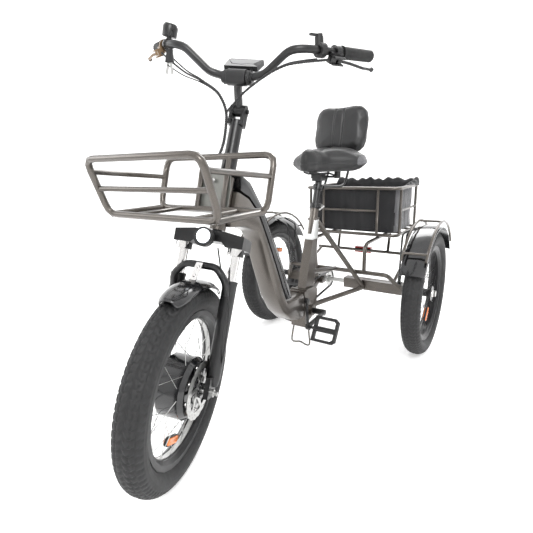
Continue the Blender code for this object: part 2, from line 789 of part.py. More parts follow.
def build_keys(stem, pivot):
    """Two keys on a wire ring that hangs from the bar's right side."""
    point, along = bar_station(-1, GRIP_LENGTH + 0.102)
    hang = point - pivot
    ring = lathe(ring_profile(BAR_R + 0.0020, BAR_R + 0.0036, -0.0008, 0.0008), 14, hang, along)
    down = steer(0, CROWN_Y, CROWN_Z - 1.0).normalized()
    side = Vector((1, 0, 0))
    flat = side.cross(down)
    turn = Matrix((side, flat, -down)).transposed().to_4x4()
    place = Matrix.Translation(hang + down * (BAR_R + 0.0024)) @ turn
    shapes = [ring]
    for way in (-1, 1):
        lean = Matrix.Rotation(way * math.radians(9), 4, "Y")
        head = box((-0.009, -0.0035 + way * 0.0024, -0.036), (0.009, 0.0035 + way * 0.0024, 0.0))
        blade = box((-0.0035, -0.0011 + way * 0.0024, -0.066), (0.0035, 0.0011 + way * 0.0024, -0.03))
        shapes += [moved(mesh, place @ lean) for mesh in (head, blade)]
    return fuse("keys", shapes, "black_plastic", stem, hang)


# The wrapped cables, in steer space: from each lever to the stem, then down beside it
LOOM_RIGHT = [
    (-0.2455, -0.0655, 0.4925), (-0.215, -0.062, 0.472), (-0.168, -0.050, 0.446), (-0.101, -0.080, 0.409), (-0.053, -0.075, 0.385),
    (-0.032, -0.062, 0.364), (-0.021, -0.045, 0.338), (-0.017, -0.038, 0.303), (-0.015, -0.037, 0.251),
    (-0.023, -0.036, 0.205),
]
LOOM_LEFT = [
    (0.2455, -0.0655, 0.4925), (0.220, -0.092, 0.472), (0.190, -0.112, 0.455), (0.150, -0.116, 0.443), (0.110, -0.106, 0.428),
    (0.070, -0.090, 0.408), (0.030, -0.070, 0.385), (0.002, -0.055, 0.360), (-0.021, -0.045, 0.336),
]


def smooth_route(points, steps=4):
    """A smooth curve through the points of a cable's route."""
    points = [Vector(point) for point in points]
    ends = [points[0] * 2 - points[1]] + points + [points[-1] * 2 - points[-2]]
    made = []
    for a, b, c, d in zip(ends, ends[1:], ends[2:], ends[3:]):
        for step in range(steps):
            t = step / steps
            bend = (a * 2 - b * 5 + c * 4 - d) * t * t + (b * 3 - a - c * 3 + d) * t ** 3
            made.append((b * 2 + (c - a) * t + bend) / 2)
    made.append(points[-1])
    return made


def build_cables(steering):
    """The brake and throttle cables in one wrap. They bend where the stem tilts."""
    shapes = [pipe(smooth_route(LOOM_RIGHT), LOOM_R, 8), pipe(smooth_route(LOOM_LEFT), CABLE_R, 8)]
    return fuse("cable_loom", shapes, "black_plastic", steering)


# Front frame
MAIN_OUTLINE = [
    (0.228, 0.672), (0.300, 0.664), (0.362, 0.640), (0.388, 0.600), (0.426, 0.492), (0.466, 0.389),
    (0.512, 0.316), (0.566, 0.268), (0.630, 0.246), (0.676, 0.242),
    (0.676, 0.345), (0.545, 0.345), (0.525, 0.389), (0.479, 0.492), (0.428, 0.600), (0.376, 0.700),
    (0.330, 0.748), (0.285, 0.770), (0.268, 0.775),
]
COVER_OUTLINE = [
    (0.288, 0.8265), (0.340, 0.797), (0.398, 0.722), (0.445, 0.640), (0.523, 0.492), (0.587, 0.3506),
    (0.5475, 0.3506), (0.5265, 0.389), (0.4805, 0.492), (0.4295, 0.600), (0.3775, 0.701),
    (0.3315, 0.749), (0.2865, 0.7715),
]
BAY_OUTLINE = [(0.420, 0.655), (0.500, 0.495), (0.556, 0.374), (0.512, 0.362), (0.452, 0.480), (0.386, 0.630)]
PACK_OUTLINE = [(0.418, 0.648), (0.497, 0.494), (0.552, 0.376), (0.514, 0.367), (0.455, 0.482), (0.389, 0.631)]


def head_point(up, back=0.0):
    """A trike-space point near the head tube, `up` along its axis and `back` behind it."""
    s, c = math.sin(HEAD_TILT), math.cos(HEAD_TILT)
    return Vector((0, CROWN_Y + up * s + back * c, CROWN_Z + up * c - back * s))


def build_main_tube(front):
    half = TUBE_W / 2
    body = add("main_tube", prism(MAIN_OUTLINE, -half, half), "frame", front)
    round_edges(body, 0.010, 2, 50)
    low = head_point(0.004)
    high = head_point(0.004 + HEAD_LENGTH - 0.008)
    plate = box(
        (-HINGE_HALF_W, HINGE_Y - HINGE_PLATE - HINGE_GAP / 2, HINGE_LOW + 0.02),
        (HINGE_HALF_W, HINGE_Y - HINGE_GAP / 2, HINGE_HIGH - 0.004),
    )
    shapes = [rod(low, high, HEAD_R, 18), plate]
    for z in KNUCKLES:
        shapes.append(rod(hinge_axis(z - KNUCKLE_HALF), hinge_axis(z + KNUCKLE_HALF), KNUCKLE_R, 12))
        arm_low = hinge_axis(z - KNUCKLE_HALF + 0.001) - Vector((0, 0.010, 0))
        arm_high = hinge_axis(z + KNUCKLE_HALF - 0.001) + Vector((KNUCKLE_R + 0.005, -0.001, 0))
        shapes.append(box(arm_low, arm_high))
    cut(body, shapes, "UNION")
    bore = rod(head_point(-0.05), head_point(0.3), STEERER_R + 0.0006, 16)
    bay = prism(BAY_OUTLINE, -BAY_W / 2, BAY_W / 2)
    pin_hole = rod(hinge_axis(0.0), hinge_axis(0.5), HINGE_PIN_R + GAP, 12)
    return cut(body, [bore, bay, pin_hole])


def hinge_axis(z):
    return Vector((-HINGE_HALF_W - KNUCKLE_R - 0.001, HINGE_Y, z))


def build_battery(front):
    half = TUBE_W / 2
    cover = add("battery_cover", prism(COVER_OUTLINE, -half, half), "black_gloss", front)
    round_edges(cover, 0.012, 2, 50)
    cut(cover, [
        prism(BAY_OUTLINE, -BAY_W / 2, BAY_W / 2),
        rod(head_point(-0.02), head_point(0.3), HEAD_R + GAP, 18),
    ])
    pack = add("battery_pack", prism(PACK_OUTLINE, -BAY_W / 2 + 0.002, BAY_W / 2 - 0.002), "battery", front)
    return cover, pack


def build_front_basket(front):
    top_z, low_z = 0.872, 0.729
    front_top, front_low = -0.050, 0.000
    back_top, back_low = 0.226, 0.182
    h = FB_HALF
    # The front and back loops stand up from the floor loop and lean outwards.
    rim = rounded([
        (-h, front_low, low_z), (-h, front_top, top_z), (h, front_top, top_z), (h, front_low, low_z),
    ], 0.03, 3, closed=True)
    back = rounded([
        (-h, back_low, low_z), (-h, back_top, top_z), (h, back_top, top_z), (h, back_low, low_z),
    ], 0.03, 3, closed=True)
    shapes = [pipe(rim, FB_TUBE, 6, True), pipe(back, FB_TUBE, 6, True)]
    for x in (-h + 0.012, h - 0.012):
        shapes.append(pipe([(x, front_low - 0.002, low_z), (x, back_low + 0.002, low_z)], FB_TUBE * 0.9, 6))
        y_front = front_low + (front_top - front_low) * 0.78
        y_back = back_low + (back_top - back_low) * 0.62
        shapes.append(pipe([
            (x * 1.06, y_front, low_z + (top_z - low_z) * 0.78), (x * 1.06, y_back, low_z + (top_z - low_z) * 0.62),
        ], FB_TUBE * 0.72, 6))
    y_rail = front_low + (front_top - front_low) * 0.48
    z_rail = low_z + (top_z - low_z) * 0.48
    shapes.append(pipe([(-h, y_rail, z_rail), (h, y_rail, z_rail)], FB_TUBE * 0.72, 6))
    for x in (-FB_POST_X, FB_POST_X):
        shapes.append(pipe([(x, back_low, low_z), (x, back_top, top_z)], FB_TUBE * 0.8, 6))
        shapes.append(pipe([(x * 2.2, front_low, low_z), (x * 2.2, back_low, low_z)], FB_TUBE * 0.65, 6))
    return fuse("front_basket", shapes, "frame", front)


def build_basket_bracket(front):
    """The plate behind the basket's back loop, on two spacers bolted to the head tube."""
    lean = math.atan2(0.226 - 0.182, 0.872 - 0.729)
    back = Vector((0, 0.182, 0.729))
    turn = Matrix.Translation(back) @ Matrix.Rotation(-lean, 4, "X")
    gap = FB_TUBE * 0.8 + GAP
    plate = prism(
        [(-0.058, 0.004), (0.058, 0.004), (0.058, 0.060), (0.050, 0.118), (-0.050, 0.118), (-0.058, 0.060)],
        gap, gap + 0.003, "XZ",
    )
    shapes = [moved(plate, turn)]
    for up in (0.085, 0.130):
        target = head_point(up, -HEAD_R + 0.004)
        height = target.z + 0.006
        face = 0.182 + (height - 0.729) * math.tan(lean) + (gap + 0.001) / math.cos(lean)
        shapes.append(rod((0, target.y, target.z), (0, face, height), 0.007, 10))
    bracket = fuse("basket_bracket", shapes, "grey_plate", front)
    tube = rod(head_point(-0.02), head_point(0.3), HEAD_R + GAP, 18)
    return cut(bracket, [tube])


def build_latch(front):
    """The fold latch: a lever on the left of the hinge, turning on a pin of the front half."""
    x = HINGE_HALF_W + 0.0010
    pivot = Vector((x + 0.006, HINGE_Y - 0.010, HINGE_HIGH - 0.040))
    hub = rod(pivot - Vector((0.006 - GAP, 0, 0)), pivot + Vector((0.007, 0, 0)), 0.011, 12)
    arm = rounded([pivot, pivot + Vector((0.004, -0.004, -0.05)), pivot + Vector((0.004, 0.004, -0.115))], 0.05, 2)
    return fuse("latch_lever", [hub, pipe(arm, 0.0058, 6)], "black_metal", front, pivot)


# Rear frame
def seat_point(z, back=0.0):
    return Vector((0, SEAT_TOP_Y + SEAT_SLOPE * (z - SEAT_TOP_Z) + back, z))


def build_rear_frame(trike):
    axle_z = WHEEL_R
    rear = WHEELBASE
    plate = box(
        (-HINGE_HALF_W, HINGE_Y + HINGE_GAP / 2, HINGE_LOW),
        (HINGE_HALF_W, HINGE_Y + HINGE_GAP / 2 + HINGE_PLATE, HINGE_HIGH),
    )
    body = add("rear_frame", plate, "frame", trike)
    gusset = prism(
        [(HINGE_Y + 0.012, 0.205), (HINGE_Y + 0.012, HINGE_HIGH - 0.002), (0.772, HINGE_HIGH - 0.006),
         (0.800, 0.330), (0.790, 0.240), (0.742, 0.215)],
        -0.030, 0.030,
    )
    seat_box = prism(
        [(0.712, 0.340), (0.756, 0.480), (0.806, 0.626), (0.838, 0.626), (0.812, 0.480), (0.785, 0.330)],
        -0.019, 0.019,
    )
    shapes = [
        gusset,
        seat_box,
        rod(seat_point(0.560), seat_point(SEAT_TOP_Z), SEAT_TUBE_R, 14),
        rod((-BB_HALF, BB_Y, BB_Z), (BB_HALF, BB_Y, BB_Z), BB_R, 14),
    ]
    stay_x = 0.120
    for side in (-1, 1):
        x = side * stay_x
        beam_in = 0.020 if side > 0 else 0.095
        low_x, high_x = sorted((side * beam_in, side * BEAM_HALF))
        half = BEAM_SIZE / 2
        shapes.append(box((low_x, rear - half, axle_z - half), (high_x, rear + half, axle_z + half)))
        seat_stay = [(side * 0.012, 0.830, 0.612), (x, rear - 0.030, axle_z - 0.004)]
        shapes.append(pipe(seat_stay, 0.0125, 6, flat=0.8))
        chain_stay = rounded([
            (side * 0.022, 0.752, 0.266), (side * 0.042, 0.850, 0.262), (x, rear - 0.020, axle_z - 0.012),
        ], 0.08, 3)
        shapes.append(pipe(chain_stay, 0.0120, 6))
        support = rounded([
            (side * BASKET_INNER_X, 1.052, 0.352), (side * BASKET_INNER_X, 1.052, 0.484),
            (side * BASKET_INNER_X, 1.430, 0.484),
        ], 0.045, 4)
        shapes.append(pipe(support, 0.0090, 6))
        shapes.append(pipe([
            (side * BASKET_INNER_X, 1.424, 0.484), (side * BASKET_INNER_X, 1.400, 0.380),
        ], 0.0075, 6))
    foot = BEAM_HALF - 0.014
    hoop = rounded([
        (-foot, rear - 0.012, axle_z + 0.004), (-0.250, 1.052, 0.352), (0.250, 1.052, 0.352),
        (foot, rear - 0.012, axle_z + 0.004),
    ], 0.03, 3)
    shapes.append(pipe(hoop, 0.0100, 6))
    shapes.append(pipe([(-0.26, 1.400, 0.378), (0.26, 1.400, 0.378)], 0.0080, 6))
    for side in (-1, 1):
        shapes.append(pipe([
            (side * 0.243, 1.402, 0.376), (side * 0.246, rear + 0.010, axle_z + 0.006),
        ], 0.0080, 6))
    shapes.append(pipe([(0, 0.790, 0.400), (0, 1.052, 0.356)], 0.0100, 6))
    loop = rounded([
        (-0.030, 0.712, 0.215), (-0.046, 0.704, 0.104), (0.0, 0.700, 0.118), (0.046, 0.704, 0.100),
        (0.030, 0.712, 0.215),
    ], 0.020, 3)
    shapes.append(pipe(loop, 0.0035, 6))
    middle = sum(KNUCKLES) / 2
    length = (KNUCKLES[1] - KNUCKLES[0]) / 2 - KNUCKLE_HALF - GAP
    shapes.append(rod(hinge_axis(middle - length), hinge_axis(middle + length), KNUCKLE_R, 12))
    arm_low = hinge_axis(middle - length + 0.001) + Vector((0, 0.001, 0))
    arm_high = hinge_axis(middle + length - 0.001) + Vector((KNUCKLE_R + 0.005, 0.010, 0))
    shapes.append(box(arm_low, arm_high))
    cut(body, shapes, "UNION")
    bore = rod(seat_point(0.470), seat_point(SEAT_TOP_Z + 0.05), SEATPOST_R + GAP, 14)
    axle_bore = rod((-0.35, rear, axle_z), (0.35, rear, axle_z), REAR_AXLE_R + GAP, 14)
    bb_bore = rod((-0.10, BB_Y, BB_Z), (0.10, BB_Y, BB_Z), 0.0125 + GAP, 14)
    pin_hole = rod(hinge_axis(0.0), hinge_axis(0.5), HINGE_PIN_R + GAP, 12)
    return cut(body, [bore, axle_bore, bb_bore, pin_hole])


def build_hinge_pin(trike):
    """The fold hinge's pin, with a head at each end."""
    low, high = hinge_axis(KNUCKLES[0] - KNUCKLE_HALF - GAP), hinge_axis(KNUCKLES[1] + KNUCKLE_HALF + GAP)
    length = high.z - low.z
    profile = [
        (0, -0.004), (0.009, -0.004), (0.009, 0), (HINGE_PIN_R, 0), (HINGE_PIN_R, length), (0.009, length),
        (0.009, length + 0.004), (0, length + 0.004),
    ]
    return add("hinge_pin", lathe(profile, 12, low, (0, 0, 1), closed=False), "steel", trike)


def build_seat_clamp(trike):
    z = SEAT_TOP_Z - 0.010
    centre = seat_point(z)
    axis = Vector((0, SEAT_SLOPE, 1)).normalized()
    ring = lathe(ring_profile(SEAT_TUBE_R + GAP, SEAT_TUBE_R + 0.0050, -0.010, 0.010), 16, centre, axis)
    back = centre.y + SEAT_TUBE_R
    lug = box((-0.008, back + 0.0030, z - 0.007), (0.008, back + 0.0205, z + 0.009))
    fuse("seat_clamp", [ring, lug], "black_metal", trike)
    pivot = Vector((0.013, back + 0.0135, z))
    hub = rod(pivot - Vector((0.004, 0, 0)), pivot + Vector((0.004, 0, 0)), 0.0065, 10)
    arm = rounded([pivot, pivot + Vector((0.017, -0.004, -0.002)), pivot + Vector((0.020, -0.055, -0.010))], 0.01, 2)
    fuse("seat_clamp_lever", [hub, pipe(arm, 0.0032, 6)], "steel", trike, pivot)


def chain_outline(offset):
    """The belt-like outline round both sprockets, `offset` outside their teeth."""
    big = Vector((BB_Y, BB_Z))
    small = Vector((WHEELBASE, WHEEL_R))
    r1, r2 = CHAINRING_R + offset, SPROCKET_R + offset
    gap = small - big
    base = math.atan2(gap.y, gap.x)
    swing = math.acos((r1 - r2) / gap.length)
    points = []
    for k in range(15):
        angle = base + swing + (2 * math.pi - 2 * swing) * k / 14
        points.append((big.x + r1 * math.cos(angle), big.y + r1 * math.sin(angle)))
    for k in range(9):
        angle = base - swing + 2 * swing * k / 8
        points.append((small.x + r2 * math.cos(angle), small.y + r2 * math.sin(angle)))
    return points


def build_chain(trike):
    half = CHAIN_W / 2
    outer = prism(chain_outline(CHAIN_CLEAR + CHAIN_T), SPROCKET_X - half, SPROCKET_X + half)
    chain = add("chain", outer, "black_metal", trike)
    return cut(chain, [prism(chain_outline(CHAIN_CLEAR), SPROCKET_X - 0.02, SPROCKET_X + 0.02)])


def build_crank(trike):
    axis = Vector((0, BB_Y, BB_Z))
    crank = empty("crank", axis, trike)
    spindle = rod((-0.078, 0, 0), (0.094, 0, 0), 0.0125, 12)
    ring = lathe(ring_profile(CHAINRING_R - 0.016, CHAINRING_R, SPROCKET_X - 0.0015, SPROCKET_X + 0.0015), 24)
    shapes = [ring]
    for k in range(5):
        angle = 2 * math.pi * k / 5 + 0.3
        way = Vector((0, math.cos(angle), math.sin(angle)))
        middle = Vector((SPROCKET_X, 0, 0))
        shapes.append(rod(middle + way * 0.008, middle + way * (CHAINRING_R - 0.014), 0.0050, 6))
    shapes.append(spindle)
    for side in (1, -1):
        way = -1 if side > 0 else 1
        tip = Vector((0, way * CRANK_LENGTH * math.cos(CRANK_ANGLE), -way * -CRANK_LENGTH * math.sin(CRANK_ANGLE)))
        x = 0.088 if side > 0 else -0.076
        arm_tip = Vector((side * 0.096, tip.y, tip.z))
        shapes.append(pipe([(x, 0, 0), arm_tip], 0.0105, 8, flat=0.75))
        shapes.append(rod((side * 0.090, tip.y, tip.z), (side * 0.104, tip.y, tip.z), 0.0125, 12))
    made = fuse("crankset", shapes, "black_metal", crank)
    for side, name in ((1, "left"), (-1, "right")):
        way = -1 if side > 0 else 1
        tip = Vector((0, way * CRANK_LENGTH * math.cos(CRANK_ANGLE), way * CRANK_LENGTH * math.sin(CRANK_ANGLE)))
        build_pedal(name, side, crank, tip)
    return made


def build_pedal(name, side, crank, tip):
    near = 0.106
    axle = rod((side * near, 0, 0), (side * (PEDAL_X + PEDAL_W / 2 - 0.004), 0, 0), 0.0055, 10)
    x0, x1 = PEDAL_X - PEDAL_W / 2, PEDAL_X + PEDAL_W / 2
    thick, bar, length = 0.0080, 0.010, PEDAL_L / 2
    shapes = [axle, rod((side * (x0 - 0.001), 0, 0), (side * (x1 - 0.001), 0, 0), 0.0105, 10)]
    for low, high in (
        ((x0, -length, -thick), (x0 + bar, length, thick)),
        ((x1 - bar, -length * 0.8, -thick), (x1, length * 0.8, thick)),
        ((x0, -length, -thick), (x1 - 0.012, -length + bar, thick)),
        ((x0, length - bar, -thick), (x1 - 0.012, length, thick)),
    ):
        xs = sorted((side * low[0], side * high[0]))
        shapes.append(box((xs[0], low[1], low[2]), (xs[1], high[1], high[2])))
    for way in (-1, 1):
        corner = [(side * (x1 - 0.016), way * (length - 0.005), 0), (side * (x1 - 0.005), way * (length * 0.8 - 0.004), 0)]
        shapes.append(pipe(corner, 0.0075, 6))
    turn = Matrix.Rotation(PEDAL_TILT, 4, "X")
    pedal = fuse(f"pedal_{name}", [moved(m, turn) for m in shapes], "black_plastic", crank)
    pedal.location = tip
    for modifier in pedal.modifiers:
        for helper in modifier.collection.objects:
            helper.location = tip
    return pedal


# Rear wheels
def build_rear_wheel(trike, side, name):
    centre = Vector((side * TRACK / 2, WHEELBASE, WHEEL_R))
    wheel = empty(f"wheel_{name}", centre, trike)
    add(f"rear_tyre_{name}", tyre_mesh((0, 0, 0)), "tyre", wheel)
    inner = side * (BEAM_HALF + 0.004) - centre.x
    outer = side * 0.030
    low, high = sorted((inner, outer))
    bore = REAR_AXLE_R + GAP
    hub = lathe([
        (bore, low), (0.015, low), (0.015, -REAR_FLANGE_X - 0.003), (REAR_FLANGE_R, -REAR_FLANGE_X - 0.003),
        (REAR_FLANGE_R, -REAR_FLANGE_X + 0.003), (0.018, -REAR_FLANGE_X + 0.003),
        (0.018, REAR_FLANGE_X - 0.003), (REAR_FLANGE_R, REAR_FLANGE_X - 0.003),
        (REAR_FLANGE_R, REAR_FLANGE_X + 0.003), (0.015, REAR_FLANGE_X + 0.003), (0.015, high), (bore, high),
    ], 12)
    add(f"rear_hub_{name}", hub, "steel", wheel)
    body = add(f"rear_rim_{name}", rim_mesh((0, 0, 0)), "black_metal", wheel)
    spokes = merge(spoke_meshes(
        (0, 0, 0), REAR_FLANGE_R + 0.001, REAR_FLANGE_X, math.radians(60), RIM_INNER_R + 0.002,
    ))
    return cut(body, [spokes], "UNION")


def build_rear_axle(trike):
    centre = Vector((0, WHEELBASE, WHEEL_R))
    reach = TRACK / 2 + 0.030 + GAP
    nut = 0.014
    profile = [(0, -reach - 0.014), (nut, -reach - 0.014), (nut, -reach), (REAR_AXLE_R, -reach)]
    profile += [
        (REAR_AXLE_R, SPROCKET_X - 0.010), (0.018, SPROCKET_X - 0.010), (0.018, SPROCKET_X - 0.0015),
        (SPROCKET_R, SPROCKET_X - 0.0015), (SPROCKET_R, SPROCKET_X + 0.0015), (0.018, SPROCKET_X + 0.0015),
        (0.018, SPROCKET_X + 0.010), (REAR_AXLE_R, SPROCKET_X + 0.010),
    ]
    profile += [(REAR_AXLE_R, reach), (nut, reach), (nut, reach + 0.014), (0, reach + 0.014)]
    return add("rear_axle", lathe(profile, 14, centre, closed=False), "steel", trike, centre)


def build_fenders(trike):
    for side, name in ((1, "left"), (-1, "right")):
        centre = Vector((side * TRACK / 2, WHEELBASE, WHEEL_R))
        strip = strip_mesh(centre, WHEEL_R + 0.016, 0.003, 0.047, math.radians(-58), math.radians(62), 12, 0.008)
        beam_top = WHEEL_R + BEAM_SIZE / 2 + GAP
        foot_x = sorted((side * (BEAM_HALF - 0.032), side * (BEAM_HALF - 0.008)))
        arms = [box((foot_x[0], WHEELBASE - 0.010, beam_top), (foot_x[1], WHEELBASE + 0.022, beam_top + 0.004))]
        for y in (WHEELBASE - 0.030, WHEELBASE + 0.050):
            high = WHEEL_R + math.sqrt((WHEEL_R + 0.020) ** 2 - (y - WHEELBASE) ** 2)
            arms.append(pipe(rounded([
                (side * (BEAM_HALF - 0.020), WHEELBASE + (y - WHEELBASE) * 0.25, beam_top + 0.0030),
                (side * (BEAM_HALF - 0.008), y, high - 0.03),
                (side * (TRACK / 2 - 0.030), y, high),
            ], 0.03, 3), 0.0045, 6))
        fuse(f"fender_{name}", [strip] + arms, "black_gloss", trike)
        hoops = []
        for x in (-0.046, 0.046):
            route = []
            for k in range(11):
                angle = math.radians(-52 + 104 * k / 10)
                swell = 0.040 + 0.004 * math.cos(angle)
                radius = WHEEL_R + swell
                route.append(centre + Vector((x, -radius * math.sin(angle), radius * math.cos(angle))))
            hoops.append(pipe(route, 0.0055, 6))
        for degrees in (-46, 0, 46):
            angle = math.radians(degrees)
            radius = WHEEL_R + 0.040 + 0.004 * math.cos(angle)
            at = Vector((0, -radius * math.sin(angle), radius * math.cos(angle)))
            hoops.append(rod(centre + at - Vector((0.046, 0, 0)), centre + at + Vector((0.046, 0, 0)), 0.0050, 6))
        fuse(f"fender_guard_{name}", hoops, "frame", trike)


# Rear basket
def build_rear_basket(trike):
    f, b, h = BASKET_FRONT, BASKET_REAR, BASKET_HALF
    t = BASKET_TUBE
    shapes = []
    for z in (BASKET_TOP, BASKET_LOW):
        route = rounded([(-h, f, z), (h, f, z), (h, b, z), (-h, b, z)], 0.035, 3, closed=True)
        shapes.append(pipe(route, t, 6, True))
    mid = (BASKET_TOP + BASKET_LOW) / 2 + 0.004
    posts = [
        (BASKET_INNER_X, f), (-BASKET_INNER_X, f), (BASKET_INNER_X, b), (-BASKET_INNER_X, b),
        (h, f + 0.045), (-h, f + 0.045), (h, b - 0.045), (-h, b - 0.045),
    ]
    for x, y in posts:
        shapes.append(pipe([(x, y, BASKET_LOW), (x, y, BASKET_TOP)], t * 0.85, 6))
    for y in (f, b):
        shapes.append(pipe([(-BASKET_INNER_X, y, mid), (BASKET_INNER_X, y, mid)], t * 0.75, 6))
    for x in (-h, h):
        shapes.append(pipe([(x, f + 0.045, mid), (x, b - 0.045, mid)], t * 0.75, 6))
    for y in (f + 0.11, b - 0.11):
        shapes.append(pipe([(-h, y, BASKET_LOW), (h, y, BASKET_LOW)], t * 0.75, 6))
    return fuse("rear_basket", shapes, "frame", trike)


def basket_outline(inset):
    """The rear basket's plan, `inset` inside the middle of its tubes."""
    corner = 0.036 - 0.4 * inset
    low = (-BASKET_HALF + inset + corner, BASKET_FRONT + inset + corner)
    high = (BASKET_HALF - inset - corner, BASKET_REAR - inset - corner)
    points = []
    for x, y, start in ((high[0], high[1], 0), (low[0], high[1], 90), (low[0], low[1], 180), (high[0], low[1], 270)):
        for k in range(4):
            angle = math.radians(start + 30 * k)
            points.append((x + corner * math.cos(angle), y + corner * math.sin(angle)))
    return points


def build_liner(trike):
    inset = BASKET_TUBE + 0.0025
    low = BASKET_LOW + BASKET_TUBE + 0.0015
    top = BASKET_TOP + 0.012
    liner = add("basket_liner", prism(basket_outline(inset), low, top, "XY"), "fabric", trike)
    return cut(liner, [prism(basket_outline(inset + LINER_WALL), low + LINER_WALL, top + 0.05, "XY")])


def build_tail_light(trike):
    y = 1.400 + 0.008 + GAP
    return add("tail_light", box((-0.045, y, 0.362), (0.045, y + 0.030, 0.394)), "red", trike)


# Seat
def build_seat(trike):
    seat = empty("seat", seat_point(SEAT_TOP_Z), trike)
    base = seat_point(SEAT_TOP_Z)
    back = Matrix.Translation(-base)
    low, high = seat_point(0.490), seat_point(SADDLE_CLAMP_Z - 0.004)
    post = rod(low, high, SEATPOST_R, 14)
    head = box((-0.020, high.y - 0.024, high.z - 0.004), (0.020, high.y + 0.024, high.z + 0.022))
    fuse("seatpost", [moved(post, back), moved(head, back)], "black_metal", seat)
    build_saddle_frame(seat, base)
    build_saddle(seat, base)
    build_backrest(seat, base)


SADDLE_MID_Y = 0.868
SADDLE_BASE_Z = 0.817


def build_saddle_frame(seat, base):
    """Two wire rails with a coil spring at the back of each, standing in for the sprung undercarriage."""
    shapes = []
    z = SADDLE_CLAMP_Z + 0.012
    centre_y = seat_point(SADDLE_CLAMP_Z).y
    for side in (-1, 1):
        x = side * 0.026
        shapes.append(pipe(rounded([
            (side * 0.012, SADDLE_MID_Y - 0.105, SADDLE_BASE_Z - 0.0048), (x, centre_y - 0.045, z + 0.010),
            (x, centre_y + 0.040, z + 0.010), (side * 0.052, SADDLE_MID_Y + 0.062, z - 0.004),
        ], 0.03, 2), 0.0040, 6))
        shapes.append(rod(
            (side * 0.055, SADDLE_MID_Y + 0.062, z - 0.012), (side * 0.055, SADDLE_MID_Y + 0.062, SADDLE_BASE_Z - 0.0005),
            0.0135, 10,
        ))
    shapes.append(pipe([
        (-0.055, SADDLE_MID_Y + 0.062, z - 0.006), (0.055, SADDLE_MID_Y + 0.062, z - 0.006),
    ], 0.0045, 6))
    frame = fuse("saddle_frame", [moved(m, Matrix.Translation(-base)) for m in shapes], "steel", seat)
    clamp = box((-0.0205, centre_y - 0.0245 - 0.0013, 0.70), (0.0205, centre_y + 0.0245, SADDLE_CLAMP_Z + 0.0185))
    return cut(frame, [moved(clamp, Matrix.Translation(-base))])


def saddle_half_width(t):
    """Half width along the saddle: t runs from 0 at the nose to 1 at the back."""
    nose = 0.034 + 0.020 * t
    wing = (SADDLE_W / 2 - 0.05) / (1 + math.exp(-(t - 0.52) * 14))
    tail = 1 - 0.30 * max(0.0, (t - 0.86) / 0.14) ** 2
    return (nose + wing) * tail * min(1.0, 0.45 + 3.4 * t)


def build_saddle(seat, base):
    shape = bmesh.new()
    rows = []
    stations = [0.0, 0.06, 0.16, 0.30, 0.42, 0.54, 0.66, 0.78, 0.90, 1.0]
    for t in stations:
        half = saddle_half_width(t)
        y = SADDLE_MID_Y + (t - 0.5) * SADDLE_LENGTH
        lift = 0.010 * (t - 0.35)
        top = SADDLE_BASE_Z + SADDLE_H * (0.84 + 0.16 * math.cos((t - 0.6) * 2.4)) + lift
        if t in (0.0, 1.0):
            top -= 0.012
        row = []
        for share, height in ((-0.8, 0.0), (-1.0, 0.35), (-0.93, 0.72), (-0.6, 0.96), (0.0, 1.0),
                              (0.6, 0.96), (0.93, 0.72), (1.0, 0.35), (0.8, 0.0)):
            row.append(shape.verts.new((
                share * half, y - base.y, SADDLE_BASE_Z + (top - SADDLE_BASE_Z) * height - base.z,
            )))
        rows.append(row)
    count = len(rows[0])
    for first, second in zip(rows, rows[1:]):
        for k in range(count):
            shape.faces.new((first[k], first[(k + 1) % count], second[(k + 1) % count], second[k]))
    shape.faces.new(rows[0])
    shape.faces.new(rows[-1])
    return add("saddle", finish_mesh("saddle", shape), "vinyl", seat)


BACKREST_Y = 1.086
BACKREST_Z = 0.985
BACKREST_LEAN = math.radians(-12)


def build_backrest(seat, base):
    back = Matrix.Translation(-base)
    place = Matrix.Translation((0, BACKREST_Y, BACKREST_Z)) @ Matrix.Rotation(BACKREST_LEAN, 4, "X")
    w, h = BACKREST_W / 2, BACKREST_H / 2
    corner = BACKREST_CORNER
    outline = []
    for cx, cz, start in ((w - corner, h - corner, 0), (-w + corner, h - corner, 90),
                          (-w + corner, -h + corner, 180), (w - corner, -h + corner, 270)):
        for k in range(4):
            angle = math.radians(start + 30 * k)
            outline.append((cx + corner * math.cos(angle), cz + corner * math.sin(angle)))
    pad = prism(outline, -BACKREST_T / 2, BACKREST_T / 2, "XZ")
    made = add("backrest_pad", moved(pad, back @ place), "vinyl", seat)
    round_edges(made, 0.012, 2, 50)
    z = SADDLE_CLAMP_Z - 0.034
    shapes = []
    rear_face = BACKREST_T / 2 + 0.0070
    for side in (-1, 1):
        x = side * 0.048
        low = place @ Vector((x, rear_face, -BACKREST_H / 2 - 0.020))
        high = place @ Vector((x, rear_face, 0.030))
        shapes.append(pipe(rounded([
            (x * 0.30, seat_point(z).y + 0.024, z), (x, SADDLE_MID_Y + SADDLE_LENGTH / 2 + POST_CLEAR, z - 0.004), low, high,
        ], 0.05, 3), 0.0055, 6))
    shapes.append(moved(box((-0.06, rear_face - 0.0055, -0.030), (0.06, rear_face + 0.0035, 0.020)), place))
    shapes.append(lathe(
        ring_profile(SEATPOST_R + GAP, SEATPOST_R + 0.0065, -0.010, 0.010), 14, seat_point(z),
        Vector((0, SEAT_SLOPE, 1)).normalized(),
    ))
    middle = seat_point(z).y
    shapes.append(box((-0.019, middle + 0.0175, z - 0.007), (0.019, middle + 0.034, z + 0.007)))
    return fuse("backrest_frame", [moved(m, back) for m in shapes], "black_metal", seat)


